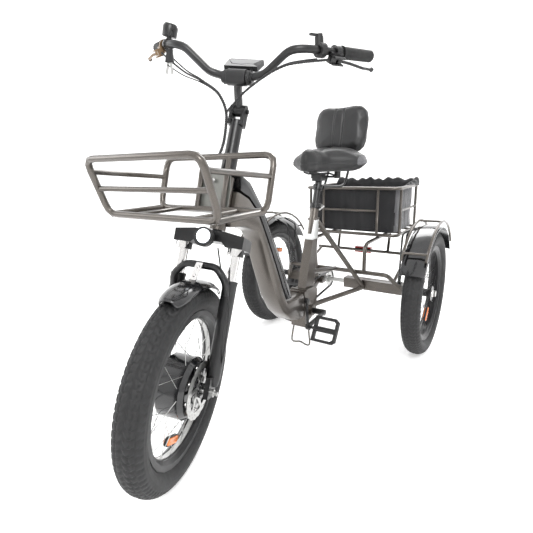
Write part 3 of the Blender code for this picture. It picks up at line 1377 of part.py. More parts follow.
def build():
    clear_scene()
    trike = empty("trike", (0, FRONT_AXLE_Y, 0))
    steering = steering_empty(trike)
    axle = steer(0, 0, WHEEL_R)
    build_fork_upper(steering)
    build_fork_lowers(steering, axle)
    build_front_axle(steering, axle)
    build_front_wheel(steering, axle)
    build_caliper(steering, axle)
    build_front_fender(steering, axle)
    build_headlight(steering)
    build_stem_lower(steering)
    pivot = Vector((0, 0, STEM_PIVOT_LZ))
    stem = empty("stem", pivot, steering)
    build_stem_upper(stem, pivot)
    build_handlebar(stem, pivot)
    build_brake_levers(stem, pivot)
    build_bell(stem, pivot)
    build_throttle(stem, pivot)
    build_display(stem, pivot)
    build_keys(stem, pivot)
    build_cables(steering)
    build_main_tube(trike)
    build_battery(trike)
    build_front_basket(trike)
    build_basket_bracket(trike)
    build_latch(trike)
    build_rear_frame(trike)
    build_hinge_pin(trike)
    build_seat_clamp(trike)
    build_chain(trike)
    build_crank(trike)
    for side, name in ((1, "left"), (-1, "right")):
        build_rear_wheel(trike, side, name)
    build_rear_axle(trike)
    build_fenders(trike)
    build_rear_basket(trike)
    build_liner(trike)
    build_tail_light(trike)
    build_seat(trike)


build()
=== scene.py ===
"""Looks of the adult electric tricycle: materials, soft parts, tyres' tread, cables, light and camera."""

import json
import math

import bmesh
import bpy
from mathutils import Matrix, Vector


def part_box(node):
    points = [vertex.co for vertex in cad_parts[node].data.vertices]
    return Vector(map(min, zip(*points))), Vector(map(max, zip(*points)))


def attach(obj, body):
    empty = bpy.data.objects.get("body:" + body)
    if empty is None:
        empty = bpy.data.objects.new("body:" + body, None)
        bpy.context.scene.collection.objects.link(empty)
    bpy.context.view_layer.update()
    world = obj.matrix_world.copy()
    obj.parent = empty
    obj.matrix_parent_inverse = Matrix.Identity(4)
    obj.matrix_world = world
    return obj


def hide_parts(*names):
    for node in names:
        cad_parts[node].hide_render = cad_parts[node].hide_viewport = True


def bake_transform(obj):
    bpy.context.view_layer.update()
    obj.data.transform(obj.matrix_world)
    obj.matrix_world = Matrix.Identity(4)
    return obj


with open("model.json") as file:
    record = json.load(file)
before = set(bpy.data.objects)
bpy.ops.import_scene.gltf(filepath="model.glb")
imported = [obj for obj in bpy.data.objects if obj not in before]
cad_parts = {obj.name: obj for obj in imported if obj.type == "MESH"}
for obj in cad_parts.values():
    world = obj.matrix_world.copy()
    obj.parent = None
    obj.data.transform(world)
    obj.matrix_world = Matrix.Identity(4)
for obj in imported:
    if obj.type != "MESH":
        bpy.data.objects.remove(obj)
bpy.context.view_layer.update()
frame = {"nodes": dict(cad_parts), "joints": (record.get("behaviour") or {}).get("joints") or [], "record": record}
record = frame["record"]
nodes = frame["nodes"]
joints = {joint["name"]: joint for joint in frame["joints"]}


# Places read from the frame
def joint_place(name):
    return Vector(joints[name]["pos_m"])


def joint_axis(name):
    return Vector(joints[name]["axis"]).normalized()


def axes_at(origin, x_axis, z_axis):
    x_axis = x_axis.normalized()
    y_axis = z_axis.cross(x_axis).normalized()
    z_axis = x_axis.cross(y_axis)
    turn = Matrix((x_axis, y_axis, z_axis)).transposed().to_4x4()
    return Matrix.Translation(origin) @ turn


STEER = axes_at(joint_place("steering_turn"), joint_axis("stem_tilt"), joint_axis("steering_turn"))
FRONT_WHEEL = axes_at(
    joint_place("front_wheel_spin"), joint_axis("front_wheel_spin"), joint_axis("steering_turn")
)
REAR_WHEELS = {
    "left": Matrix.Translation(joint_place("rear_wheel_left_spin")),
    "right": Matrix.Translation(joint_place("rear_wheel_right_spin")),
}
WHEEL_R = 0.275
WHEELBASE = 1.130
FRAME_SHIFT = joint_place("rear_wheel_left_spin").y - WHEELBASE
LEG_X = 0.078
PAD_LEAN = math.radians(-12)


# Materials
class Nodes:
    """A short way to wire a Principled material."""

    def __init__(self, name):
        self.material = bpy.data.materials.new(name)
        self.material.use_nodes = True
        self.tree = self.material.node_tree
        self.shader = self.tree.nodes["Principled BSDF"]
        self.place = self.tree.nodes.new("ShaderNodeTexCoord").outputs["Object"]

    def set(self, **values):
        for key, value in values.items():
            self.shader.inputs[key.replace("_", " ")].default_value = value

    def node(self, kind, **values):
        made = self.tree.nodes.new(kind)
        for key, value in values.items():
            if key in made.inputs:
                made.inputs[key].default_value = value
            else:
                setattr(made, key, value)
        return made

    def link(self, source, target):
        self.tree.links.new(source, target)

    def noise(self, scale, detail=4.0, stretch=None):
        made = self.node("ShaderNodeTexNoise", Scale=scale, Detail=detail)
        if stretch:
            mapping = self.node("ShaderNodeMapping")
            mapping.inputs["Scale"].default_value = stretch
            self.link(self.place, mapping.inputs["Vector"])
            self.link(mapping.outputs["Vector"], made.inputs["Vector"])
        else:
            self.link(self.place, made.inputs["Vector"])
        return made.outputs["Fac"]

    def ramp(self, source, stops):
        made = self.node("ShaderNodeValToRGB")
        ramp = made.color_ramp
        ramp.elements[0].position, ramp.elements[0].color = stops[0][0], (*stops[0][1], 1.0)
        ramp.elements[1].position, ramp.elements[1].color = stops[-1][0], (*stops[-1][1], 1.0)
        for position, colour in stops[1:-1]:
            ramp.elements.new(position).color = (*colour, 1.0)
        self.link(source, made.inputs["Fac"])
        return made.outputs["Color"]

    def between(self, source, low, high):
        made = self.node("ShaderNodeMapRange")
        made.inputs["To Min"].default_value = low
        made.inputs["To Max"].default_value = high
        self.link(source, made.inputs["Value"])
        return made.outputs["Result"]

    def bump(self, source, strength, distance):
        made = self.node("ShaderNodeBump", Strength=strength, Distance=distance)
        self.link(source, made.inputs["Height"])
        self.link(made.outputs["Normal"], self.shader.inputs["Normal"])


def shade(colour, factor):
    return tuple(min(1.0, channel * factor) for channel in colour)


def painted(name, colour, roughness, metallic=0.0, grain=900.0, coat=0.0, bump=0.08):
    """Paint or plastic: fine orange peel, a little colour drift and uneven gloss."""
    made = Nodes(name)
    drift = made.noise(7.0)
    colours = made.ramp(drift, [(0.3, shade(colour, 0.86)), (0.7, shade(colour, 1.14))])
    made.link(colours, made.shader.inputs["Base Color"])
    gloss = made.between(made.noise(45.0, 6.0), roughness * 0.82, roughness * 1.2)
    made.link(gloss, made.shader.inputs["Roughness"])
    made.bump(made.noise(grain, 2.0), bump, 0.0004)
    made.set(Metallic=metallic, Coat_Weight=coat, Coat_Roughness=0.12)
    return made.material


def flaked(name, colour, roughness):
    """Metallic frame paint: bright flakes in a darker base, under a satin coat."""
    made = Nodes(name)
    flake = made.noise(1700.0, 1.0)
    colours = made.ramp(flake, [(0.40, shade(colour, 0.75)), (0.62, colour), (0.75, shade(colour, 1.6))])
    made.link(colours, made.shader.inputs["Base Color"])
    gloss = made.between(made.noise(30.0), roughness * 0.85, roughness * 1.15)
    made.link(gloss, made.shader.inputs["Roughness"])
    made.bump(made.noise(700.0, 2.0), 0.06, 0.0003)
    made.set(Metallic=0.75, Coat_Weight=0.5, Coat_Roughness=0.2)
    return made.material


def brushed(name, colour, roughness, stretch=(1, 1, 1), bump=0.05):
    """Bare metal with fine, uneven gloss."""
    made = Nodes(name)
    lines = made.noise(350.0, 3.0, stretch)
    made.link(made.between(lines, roughness * 0.7, roughness * 1.35), made.shader.inputs["Roughness"])
    colours = made.ramp(lines, [(0.3, shade(colour, 0.85)), (0.7, shade(colour, 1.05))])
    made.link(colours, made.shader.inputs["Base Color"])
    made.bump(lines, bump, 0.0002)
    made.set(Metallic=1.0)
    return made.material


def rubber(name, colour, roughness, grain=260.0):
    """Matt rubber with a fine grain and a little dust."""
    made = Nodes(name)
    dust = made.noise(18.0, 6.0)
    colours = made.ramp(dust, [(0.35, shade(colour, 0.8)), (0.75, shade(colour, 1.5))])
    made.link(colours, made.shader.inputs["Base Color"])
    gloss = made.between(made.noise(80.0), roughness * 0.85, min(1.0, roughness * 1.15))
    made.link(gloss, made.shader.inputs["Roughness"])
    made.bump(made.noise(grain, 5.0), 0.25, 0.0008)
    return made.material


def leather(name, colour):
    """Grained vinyl: cells with fine creases between them."""
    made = Nodes(name)
    cells = made.node("ShaderNodeTexVoronoi", feature="DISTANCE_TO_EDGE", Scale=330.0)
    made.link(made.place, cells.inputs["Vector"])
    drift = made.noise(12.0)
    colours = made.ramp(drift, [(0.3, shade(colour, 0.8)), (0.7, shade(colour, 1.3))])
    made.link(colours, made.shader.inputs["Base Color"])
    made.link(made.between(made.noise(60.0), 0.30, 0.52), made.shader.inputs["Roughness"])
    made.bump(cells.outputs["Distance"], 0.35, 0.0006)
    made.set(Sheen_Weight=0.05)
    return made.material


def woven(name, colour, scale=1500.0):
    """Plain-weave cloth: crossed threads as bump and shade."""
    made = Nodes(name)
    waves = []
    for direction in ("X", "Z"):
        wave = made.node("ShaderNodeTexWave", bands_direction=direction, Scale=scale / 10, Distortion=1.0)
        made.link(made.place, wave.inputs["Vector"])
        waves.append(wave.outputs["Fac"])
    cross = made.node("ShaderNodeMath", operation="MULTIPLY")
    made.link(waves[0], cross.inputs[0])
    made.link(waves[1], cross.inputs[1])
    drift = made.noise(9.0)
    mixed = made.node("ShaderNodeMath", operation="ADD")
    made.link(cross.outputs[0], mixed.inputs[0])
    made.link(drift, mixed.inputs[1])
    colours = made.ramp(mixed.outputs[0], [(0.3, shade(colour, 0.6)), (1.0, shade(colour, 1.8))])
    made.link(colours, made.shader.inputs["Base Color"])
    made.link(made.between(drift, 0.75, 0.95), made.shader.inputs["Roughness"])
    made.bump(cross.outputs[0], 0.4, 0.0006)
    made.set(Sheen_Weight=0.3)
    return made.material


def glowing(name, colour, strength):
    """A lens lit from inside, with moulded ribs."""
    made = Nodes(name)
    ribs = made.node("ShaderNodeTexWave", bands_direction="X", Scale=60.0)
    made.link(made.place, ribs.inputs["Vector"])
    colours = made.ramp(ribs.outputs["Fac"], [(0.0, shade(colour, 0.75)), (1.0, colour)])
    made.link(colours, made.shader.inputs["Base Color"])
    made.link(colours, made.shader.inputs["Emission Color"])
    made.bump(ribs.outputs["Fac"], 0.2, 0.0006)
    made.set(Emission_Strength=strength, Roughness=0.15)
    return made.material


GUNMETAL = flaked("gunmetal paint", (0.105, 0.092, 0.080), 0.30)
BLACK = painted("black paint", (0.006, 0.006, 0.0065), 0.34, metallic=0.1, coat=0.1)
GLOSS = painted("gloss black", (0.005, 0.005, 0.006), 0.14, coat=0.5, grain=300.0, bump=0.01)
PLASTIC = painted("moulded plastic", (0.008, 0.008, 0.0085), 0.50, grain=1400.0, bump=0.15)
RIM_BLACK = painted("rim black", (0.010, 0.010, 0.011), 0.34, metallic=0.3)
STEEL = brushed("brushed steel", (0.50, 0.50, 0.49), 0.32)
CHROME = brushed("polished chrome", (0.66, 0.65, 0.64), 0.14, bump=0.01)
BRASSY = brushed("bronze lever", (0.22, 0.15, 0.09), 0.34)
TYRE = rubber("tyre rubber", (0.0065, 0.0065, 0.007), 0.62)
GRIP = rubber("grip rubber", (0.006, 0.006, 0.006), 0.78, 500.0)
VINYL = leather("seat vinyl", (0.0065, 0.0065, 0.007))
CLOTH = woven("liner cloth", (0.0045, 0.0045, 0.0055))
GREY_CLOTH = woven("grey cloth", (0.085, 0.085, 0.090))
GREY = painted("grey plate", (0.16, 0.163, 0.150), 0.42, metallic=0.4)
BATTERY = painted("battery case", (0.02, 0.02, 0.022), 0.5)
SCREEN = painted("screen glass", (0.004, 0.004, 0.005), 0.06, coat=1.0, bump=0.0)
LENS = glowing("lamp lens", (0.92, 0.95, 1.0), 2.2)
ORANGE = painted("orange reflector", (0.85, 0.20, 0.012), 0.20, coat=0.5, grain=240.0, bump=0.5)
RED = painted("red lens", (0.42, 0.012, 0.010), 0.14, coat=0.8, grain=240.0, bump=0.5)
REFLECTIVE = painted("reflective patch", (0.70, 0.71, 0.70), 0.35, grain=600.0)

FINISHES = {
    "frame_paint": GUNMETAL,
    "black_metal": BLACK,
    "black_gloss": GLOSS,
    "black_plastic": PLASTIC,
    "grip_rubber": GRIP,
    "tyre_rubber": TYRE,
    "steel": STEEL,
    "seat_vinyl": VINYL,
    "liner_fabric": CLOTH,
    "tail_red": RED,
    "grey_plate": GREY,
    "battery_case": BATTERY,
}
SPECIAL = {
    "front_rim": RIM_BLACK,
    "rear_rim_left": RIM_BLACK,
    "rear_rim_right": RIM_BLACK,
    "brake_lever_right": BRASSY,
    "lever_mount_right": BRASSY,
    "saddle_frame": BLACK,
    "rear_hub_left": BLACK,
    "rear_hub_right": BLACK,
    "hub_motor": GLOSS,
}
TUBED = (
    "rear_frame", "rear_basket", "front_basket", "handlebar", "fender_guard_left", "fender_guard_right",
    "backrest_frame", "saddle_frame", "crankset", "front_spokes", "seat_clamp_lever", "brake_lever_left",
    "brake_lever_right", "fork_lowers", "fender_left", "fender_right", "latch_lever",
)


def smoothing(name, degrees):
    """A modifier's node group that shades a faceted solid smooth, apart from edges sharper than this."""
    group = bpy.data.node_groups.new(name, "GeometryNodeTree")
    group.interface.new_socket("Geometry", in_out="INPUT", socket_type="NodeSocketGeometry")
    group.interface.new_socket("Geometry", in_out="OUTPUT", socket_type="NodeSocketGeometry")
    made = [group.nodes.new(kind) for kind in (
        "NodeGroupInput", "GeometryNodeMergeByDistance", "GeometryNodeRemoveAttribute",
        "GeometryNodeSetShadeSmooth", "GeometryNodeSetShadeSmooth", "NodeGroupOutput",
    )]
    made[1].inputs["Distance"].default_value = 0.00001
    made[2].inputs["Name"].default_value = "custom_normal"
    made[3].domain = "FACE"
    made[4].domain = "EDGE"
    made[4].inputs["Shade Smooth"].default_value = False
    for first, second in zip(made, made[1:]):
        group.links.new(first.outputs[0], second.inputs[0])
    angle = group.nodes.new("GeometryNodeInputMeshEdgeAngle")
    sharp = group.nodes.new("FunctionNodeCompare")
    sharp.inputs["B"].default_value = math.radians(degrees)
    group.links.new(angle.outputs["Unsigned Angle"], sharp.inputs["A"])
    group.links.new(sharp.outputs["Result"], made[4].inputs["Selection"])
    return group


def finish_cad_nodes():
    slots = {part["node"]: part["material_slot"] for part in record["subparts"]}
    tubes, plates = smoothing("smooth tubes", 66), smoothing("smooth plates", 34)
    for name, thing in nodes.items():
        chosen = SPECIAL.get(name, FINISHES[slots[name]])
        thing.data.materials.clear()
        thing.data.materials.append(chosen)
        modifier = thing.modifiers.new("smoothing", "NODES")
        modifier.node_group = tubes if name in TUBED else plates
    second_finish("fork_upper", CHROME, on_stanchion)
    second_finish("brake_lever_right", BLACK, near_tip)
    second_finish("keys", STEEL, is_blade)
    second_finish("display", SCREEN, on_screen)


def second_finish(name, finish, chosen):
    """The faces of a CAD node that a rule picks take another finish."""
    mesh = nodes[name].data
    mesh.materials.append(finish)
    for face in mesh.polygons:
        if chosen(face):
            face.material_index = 1


def near_tip(face):
    return (face.center - lever_tip("right")).length < 0.016


def is_blade(face):
    return face.center.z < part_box("keys")[0].z + 0.030


def on_screen(face):
    """The display's upper face, which looks up and back at the rider."""
    return face.area > 0.0005 and face.normal.z > 0.5


def on_stanchion(face):
    local = STEER.inverted() @ face.center
    return local.z < -0.052 and abs(abs(local.x) - LEG_X) < 0.0160


def lever_tip(side):
    """The point of a brake lever that lies farthest from its pivot."""
    pivot = joint_place(f"brake_pull_{side}")
    points = [Vector(vertex.co) for vertex in nodes[f"brake_lever_{side}"].data.vertices]
    return max(points, key=lambda point: (point - pivot).length)


# Mesh helpers
def linked(name, data):
    made = bpy.data.objects.new(name, data)
    bpy.context.scene.collection.objects.link(made)
    return made


def thicken(thing, thickness):
    """Gives an open surface this thickness, half on each side."""
    solid = thing.modifiers.new("thickness", "SOLIDIFY")
    solid.thickness = thickness
    solid.offset = 0.0


def piece(name, mesh, finish, body, replaces=()):
    made = linked(name, mesh)
    made.data.materials.clear()
    made.data.materials.append(finish)
    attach(made, body)
    if replaces:
        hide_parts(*replaces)
    return made


def mesh_from(shape, name, angle=40):
    bmesh.ops.recalc_face_normals(shape, faces=shape.faces)
    mesh = bpy.data.meshes.new(name)
    shape.to_mesh(mesh)
    shape.free()
    mesh.shade_smooth()
    mesh.set_sharp_from_angle(angle=math.radians(angle))
    return mesh


def grid_mesh(name, rows, wrap_rows=False, wrap_columns=False, caps=False, angle=180):
    """A surface from rows of points, closed round either way if asked."""
    shape = bmesh.new()
    made = [[shape.verts.new(point) for point in row] for row in rows]
    row_count, column_count = len(made), len(made[0])
    for i in range(row_count if wrap_rows else row_count - 1):
        for j in range(column_count if wrap_columns else column_count - 1):
            a, b = made[i], made[(i + 1) % row_count]
            k = (j + 1) % column_count
            shape.faces.new((a[j], a[k], b[k], b[j]))
    if caps:
        shape.faces.new(made[0])
        shape.faces.new(made[-1])
    return mesh_from(shape, name, angle)


def turned(name, profile, matrix, steps=32, angle=35):
    """(radius, along) pairs turned about the X axis of a matrix."""
    rows = []
    for radius, along in profile:
        row = []
        for k in range(steps):
            turn = 2 * math.pi * k / steps
            row.append(matrix @ Vector((along, radius * math.cos(turn), radius * math.sin(turn))))
        rows.append(row)
    return grid_mesh(name, rows, False, True, True, angle)


# Tyres
TYRE_PROFILE = [
    (0.0200, 0.2065), (0.0232, 0.2122), (0.0300, 0.2180), (0.0362, 0.2275),
    (0.0386, 0.2385), (0.0382, 0.2480), (0.0352, 0.2572), (0.0300, 0.2644),
    (0.0235, 0.2696), (0.0160, 0.2730), (0.0080, 0.2747), (0.0, 0.2750),
]
TREAD_BLOCKS = 84
TREAD_DEPTH = 0.0032


def tyre_section(count):
    """Evenly spaced points over half the tyre's outline, from the crown to the rim."""
    outline = [Vector(point) for point in reversed(TYRE_PROFILE)]
    lengths = [0.0]
    for first, second in zip(outline, outline[1:]):
        lengths.append(lengths[-1] + (second - first).length)
    points = []
    for k in range(count + 1):
        target = lengths[-1] * k / count
        at = max(i for i in range(len(outline) - 1) if lengths[i] <= target + 1e-9)
        share = (target - lengths[at]) / (lengths[at + 1] - lengths[at])
        points.append((outline[at].lerp(outline[at + 1], min(1.0, share)), target))
    return points


def tread_cut(across, side, turn):
    """Depth of the tread at a place: zigzag grooves, a side groove and slanted cuts between blocks."""
    if across > 0.047:
        return 0.0007 if 0.056 < across < 0.058 or 0.064 < across < 0.0655 else 0.0
    blocks = turn * TREAD_BLOCKS / (2 * math.pi) + (0.5 if side > 0 else 0.0)
    zigzag = 0.0012 * math.sin(blocks * math.pi * 2)
    if across < 0.0026 + zigzag or abs(across - 0.0155 - zigzag) < 0.0017 or abs(across - 0.0295) < 0.0013:
        return TREAD_DEPTH
    lean = across * 28
    if across < 0.0155:
        return TREAD_DEPTH * 0.8 if (blocks + lean) % 1.0 < 0.24 else 0.0
    if across < 0.0295:
        return TREAD_DEPTH if (blocks - lean) % 1.0 < 0.26 else 0.0
    return TREAD_DEPTH * 0.7 if (blocks + lean * 0.6) % 1.0 < 0.34 else 0.0


def build_tyre(name, matrix, body):
    steps = 504
    half = tyre_section(30)
    rows = []
    for k in range(steps):
        turn = 2 * math.pi * k / steps
        row = []
        for side in (-1, 1):
            places = half[1:] if side > 0 else reversed(half)
            for point, across in places:
                normal_out = max(0.0, 1.0 - across / 0.060)
                depth = tread_cut(across, side, turn)
                x = side * (point.x - depth * (1 - normal_out))
                r = point.y - depth * normal_out
                row.append(matrix @ Vector((x, r * math.sin(turn), r * math.cos(turn))))
        rows.append(row)
    mesh = grid_mesh(name + "_tread", rows, True, False, False, 50)
    return piece(name + "_tread", mesh, TYRE, body, [name])


def build_wheels():
    build_tyre("front_tyre", FRONT_WHEEL, "front_wheel")
    for side, matrix in REAR_WHEELS.items():
        build_tyre(f"rear_tyre_{side}", matrix, f"rear_wheel_{side}")
    reflectors = (
        ("front_wheel", FRONT_WHEEL, -8.0, 0.140, 0.008, 0.0),
        ("rear_wheel_left", REAR_WHEELS["left"], 0.0, 0.100, 0.010, 50.0),
        ("rear_wheel_right", REAR_WHEELS["right"], 150.0, 0.120, -0.010, 20.0),
    )
    for body, matrix, degrees, radius, out, twist in reflectors:
        round_wheel = Matrix.Rotation(math.radians(degrees), 4, "X")
        spot = Matrix.Translation((out, 0, -radius)) @ Matrix.Rotation(math.radians(twist), 4, "X")
        build_reflector(f"{body}_reflector", matrix @ round_wheel @ spot, body)
    for side, x in (("left", 1), ("right", -1)):
        centre = REAR_WHEELS[side] @ Matrix.Translation((x * 0.034, 0, 0))
        profile = [(0.001, x * 0.006), (0.013, x * 0.005), (0.016, 0.0), (0.017, -x * 0.004)]
        cap = turned(f"hub_cap_{side}", profile, centre, 24)
        piece(f"hub_cap_{side}", cap, CHROME, f"rear_wheel_{side}")


def build_reflector(name, matrix, body):
    """A moulded reflector clipped between the spokes: a lens with rounded ends in a black holder."""
    for part, length, height, thick, finish in (
        ("holder", 0.036, 0.0125, 0.005, PLASTIC), ("lens", 0.033, 0.0100, 0.0075, ORANGE),
    ):
        rows = []
        for x in (-thick, -thick * 0.7, thick * 0.7, thick):
            swell = 0.86 if abs(x) == thick else 1.0
            row = []
            for k in range(24):
                turn = 2 * math.pi * k / 24
                stretch = length - height if math.cos(turn) > 0 else height - length
                row.append(matrix @ Vector((
                    x, (stretch + height * math.cos(turn)) * swell, height * math.sin(turn) * swell,
                )))
            rows.append(row)
        mesh = grid_mesh(f"{name}_{part}", rows, False, True, True, 35)
        piece(f"{name}_{part}", mesh, finish, body)


def build_motor():
    """Bolts round the hub motor's cover on each side."""
    for side in (-1, 1):
        for k in range(8):
            turn = 2 * math.pi * (k + 0.5) / 8
            place = (side * 0.0445, 0.066 * math.cos(turn), 0.066 * math.sin(turn))
            spot = FRONT_WHEEL @ Matrix.Translation(place)
            profile = [
                (0.0001, side * 0.0045), (0.0032, side * 0.0042), (0.0046, side * 0.0022), (0.0046, 0.0),
            ]
            mesh = turned(f"motor_bolt_{side}_{k}", profile, spot, 10)
            piece(f"motor_bolt_{'l' if side > 0 else 'r'}{k}", mesh, CHROME, "front_wheel")


def flat_plate(name, loops, thickness, matrix):
    """A plate cut from closed outlines in its own plane: the first is the edge and the rest are holes."""
    curve = bpy.data.curves.new(name, "CURVE")
    curve.dimensions = "2D"
    curve.fill_mode = "BOTH"
    curve.extrude = thickness / 2
    for loop in loops:
        spline = curve.splines.new("POLY")
        spline.points.add(len(loop) - 1)
        spline.use_cyclic_u = True
        for knot, (x, y) in zip(spline.points, loop):
            knot.co = (x, y, 0.0, 1.0)
    holder = linked(name + "_outline", curve)
    mesh = evaluated_mesh(holder)
    bpy.data.objects.remove(holder)
    mesh.transform(matrix)
    return mesh


def ring_points(radius, count, centre=(0.0, 0.0), wave=0.0, waves=0):
    made = []
    for k in range(count):
        turn = 2 * math.pi * k / count
        r = radius + wave * math.cos(waves * turn)
        made.append((centre[0] + r * math.cos(turn), centre[1] + r * math.sin(turn)))
    return made


def build_rotor():
    """The brake rotor: a drilled ring with a wavy edge on six swept arms."""
    loops = [ring_points(0.0785, 180, wave=0.0014, waves=18), ring_points(0.012, 32)]
    for k in range(6):
        base = 2 * math.pi * k / 6
        window = []
        for radius, low, high, sweep in ((0.058, 0.10, 0.92, 0.55), (0.024, 0.80, 0.30, 0.0)):
            for step in range(9):
                share = low + (high - low) * step / 8
                turn = base + share * 2 * math.pi / 6 + sweep
                window.append((radius * math.cos(turn), radius * math.sin(turn)))
        loops.append(window)
    for k in range(36):
        turn = 2 * math.pi * (k + 0.5) / 36
        radius = 0.0650 if k % 2 else 0.0720
        loops.append(ring_points(0.0021, 8, (radius * math.cos(turn), radius * math.sin(turn))))
    low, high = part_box("brake_rotor")
    along = (FRONT_WHEEL.inverted() @ ((Vector(low) + Vector(high)) / 2)).x
    place = FRONT_WHEEL @ Matrix.Translation((along, 0, 0)) @ Matrix.Rotation(math.radians(90), 4, "Y")
    mesh = flat_plate("rotor_disc", loops, 0.0018, place)
    piece("rotor_disc", mesh, STEEL, "front_wheel", ["brake_rotor"])


def build_front_fender():
    """A short glossy fender that hugs the tyre, and the steel bracket that hangs it from the fork's arch."""
    half, rows = 0.040, []
    for k in range(41):
        share = -1 + 2 * k / 40
        turn = math.radians(8 + 30 * share)
        width = half * (1 - 0.45 * abs(share) ** 7)
        row = []
        for j in range(25):
            side = -1 + 2 * j / 24
            r = WHEEL_R + 0.0165 - 0.017 * abs(side) ** 3
            row.append(FRONT_WHEEL @ Vector((side * width, -r * math.sin(turn), r * math.cos(turn))))
        rows.append(row)
    mesh = grid_mesh("fender_shell", rows)
    shell = piece("fender_shell", mesh, GLOSS, "fork_slider", ["front_fender"])
    thicken(shell, 0.0022)
    strap = []
    foot = FRONT_WHEEL @ Vector((0, -0.055, WHEEL_R + 0.012))
    top = STEER @ Vector((0, -0.084, -0.100))
    across = joint_axis("stem_tilt")
    ahead = (top - foot).cross(across).normalized()
    for share in (0.0, 0.04, 0.96, 1.0):
        row = []
        wide = 0.0095 if 0 < share < 1 else 0.0085
        for x, y in ((-1, -1), (1, -1), (1, 1), (-1, 1)):
            row.append(foot.lerp(top, share) + across * (x * wide) + ahead * (y * 0.0014))
        strap.append(row)
    mesh = grid_mesh("fender_bracket", strap, False, True, True, 30)
    piece("fender_bracket", mesh, CHROME, "fork_slider")
    for share in (0.25, 0.75):
        spot = foot.lerp(top, share) + ahead * 0.001
        place = axes_at(spot, -ahead, across)
        profile = [(0.0001, 0.0052), (0.0040, 0.0050), (0.0054, 0.0030), (0.0054, 0.0)]
        bolt = turned(f"fender_bolt_{share}", profile, place, 12)
        piece(f"fender_bolt_{int(share * 100)}", bolt, CHROME, "fork_slider")


PATCH_LOW, PATCH_HIGH = 0.542, 0.619


def build_patch():
    """The reflective patch wrapped round the front of the seat tube's box."""
    rows = []
    for k in range(7):
        z = PATCH_LOW + (PATCH_HIGH - PATCH_LOW) * k / 6
        front = 0.756 + (z - 0.480) * 0.3425 + FRAME_SHIFT
        back = 0.812 + (z - 0.480) * 0.1781 + FRAME_SHIFT
        rows.append([
            (0.0194, back - 0.004, z), (0.0194, front + 0.0015, z), (0.0182, front - 0.0006, z),
            (-0.0182, front - 0.0006, z), (-0.0194, front + 0.0015, z), (-0.0194, back - 0.004, z),
        ])
    patch = piece("reflective_patch", grid_mesh("patch", rows, angle=30), REFLECTIVE, "rear_frame")
    thicken(patch, 0.0004)


# Soft parts
def inflate(source, voxel, cap):
    """Cloth under pressure, with each point's movement capped, as a finished mesh."""
    work = source.copy()
    work.data = source.data.copy()
    bpy.context.scene.collection.objects.link(work)
    remesh = work.modifiers.new("remesh", "REMESH")
    remesh.mode = "VOXEL"
    remesh.voxel_size = voxel
    start = evaluated_mesh(work)
    work.modifiers.clear()
    work.data = start
    before = [vertex.co.copy() for vertex in start.vertices]
    cloth = work.modifiers.new("cloth", "CLOTH")
    cloth.settings.use_pressure = True
    cloth.settings.uniform_pressure_force = 4.0
    cloth.settings.effector_weights.gravity = 0.0
    cloth.settings.tension_stiffness = 30.0
    cloth.settings.quality = 4
    cloth.point_cache.frame_start = 1
    cloth.point_cache.frame_end = 20
    for number in range(1, 21):
        bpy.context.scene.frame_set(number)
    swollen = evaluated_mesh(work)
    work.modifiers.clear()
    work.data = swollen
    bpy.context.scene.frame_set(1)
    for vertex, place in zip(work.data.vertices, before):
        shift = vertex.co - place
        if shift.length > cap:
            shift = shift.normalized() * cap
        vertex.co = place + shift
    mesh = work.data
    bpy.data.objects.remove(work)
    return mesh


def evaluated_mesh(thing):
    bpy.context.view_layer.update()
    graph = bpy.context.evaluated_depsgraph_get()
    return bpy.data.meshes.new_from_object(thing.evaluated_get(graph))


def smooth_mesh(mesh, rounds):
    shape = bmesh.new()
    shape.from_mesh(mesh)
    for _ in range(rounds):
        bmesh.ops.smooth_vert(
            shape, verts=shape.verts, factor=0.5, use_axis_x=True, use_axis_y=True, use_axis_z=True
        )
    shape.to_mesh(mesh)
    shape.free()
    mesh.shade_smooth()


def build_saddle():
    """The wide saddle: a raised nose, drooping wings, a relief channel and a seam round the side."""
    mesh = inflate(nodes["saddle"], 0.005, 0.007)
    smooth_mesh(mesh, 6)
    low, high = (Vector(corner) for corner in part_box("saddle"))
    half = (high.x - low.x) / 2
    shape = bmesh.new()
    shape.from_mesh(mesh)
    bmesh.ops.subdivide_edges(shape, edges=shape.edges, cuts=1, use_grid_fill=True)
    shape.normal_update()
    for vertex in shape.verts:
        share = (vertex.co.y - low.y) / (high.y - low.y)
        tall = max(0.0, min(1.0, (vertex.co.z - low.z) / (high.z - low.z)))
        wide = abs(vertex.co.x) / half
        droop = 0.016 * wide ** 2 + 0.010 * math.exp(-((share - 0.42) / 0.13) ** 2) * (1 - wide)
        nose = 0.010 * math.exp(-((share - 0.12) / 0.14) ** 2) * (1 - wide)
        lift = nose + 0.012 * max(0.0, share - 0.7) / 0.3
        vertex.co.z += (lift - droop) * tall
        if vertex.normal.z > 0.3 and 0.30 < share < 0.95:
            fade = math.sin(math.pi * (share - 0.30) / 0.65)
            vertex.co.z -= 0.0080 * math.exp(-(vertex.co.x / 0.010) ** 2) * fade
        seam = low.z + 0.34 * (high.z - low.z)
        if abs(vertex.normal.z) < 0.8:
            groove = 0.0020 * math.exp(-((vertex.co.z - seam) / 0.0022) ** 2)
            vertex.co -= Vector((vertex.normal.x, vertex.normal.y, 0)) * groove
    shape.to_mesh(mesh)
    shape.free()
    mesh.shade_smooth()
    made = piece("saddle_cover", mesh, VINYL, "seat", ["saddle"])
    mesh.materials.append(GREY_CLOTH)
    for face in mesh.polygons:
        share = (face.center.y - low.y) / (high.y - low.y)
        if abs(face.center.x) > half * 0.86 and share > 0.62 and abs(face.normal.z) < 0.7:
            face.material_index = 1


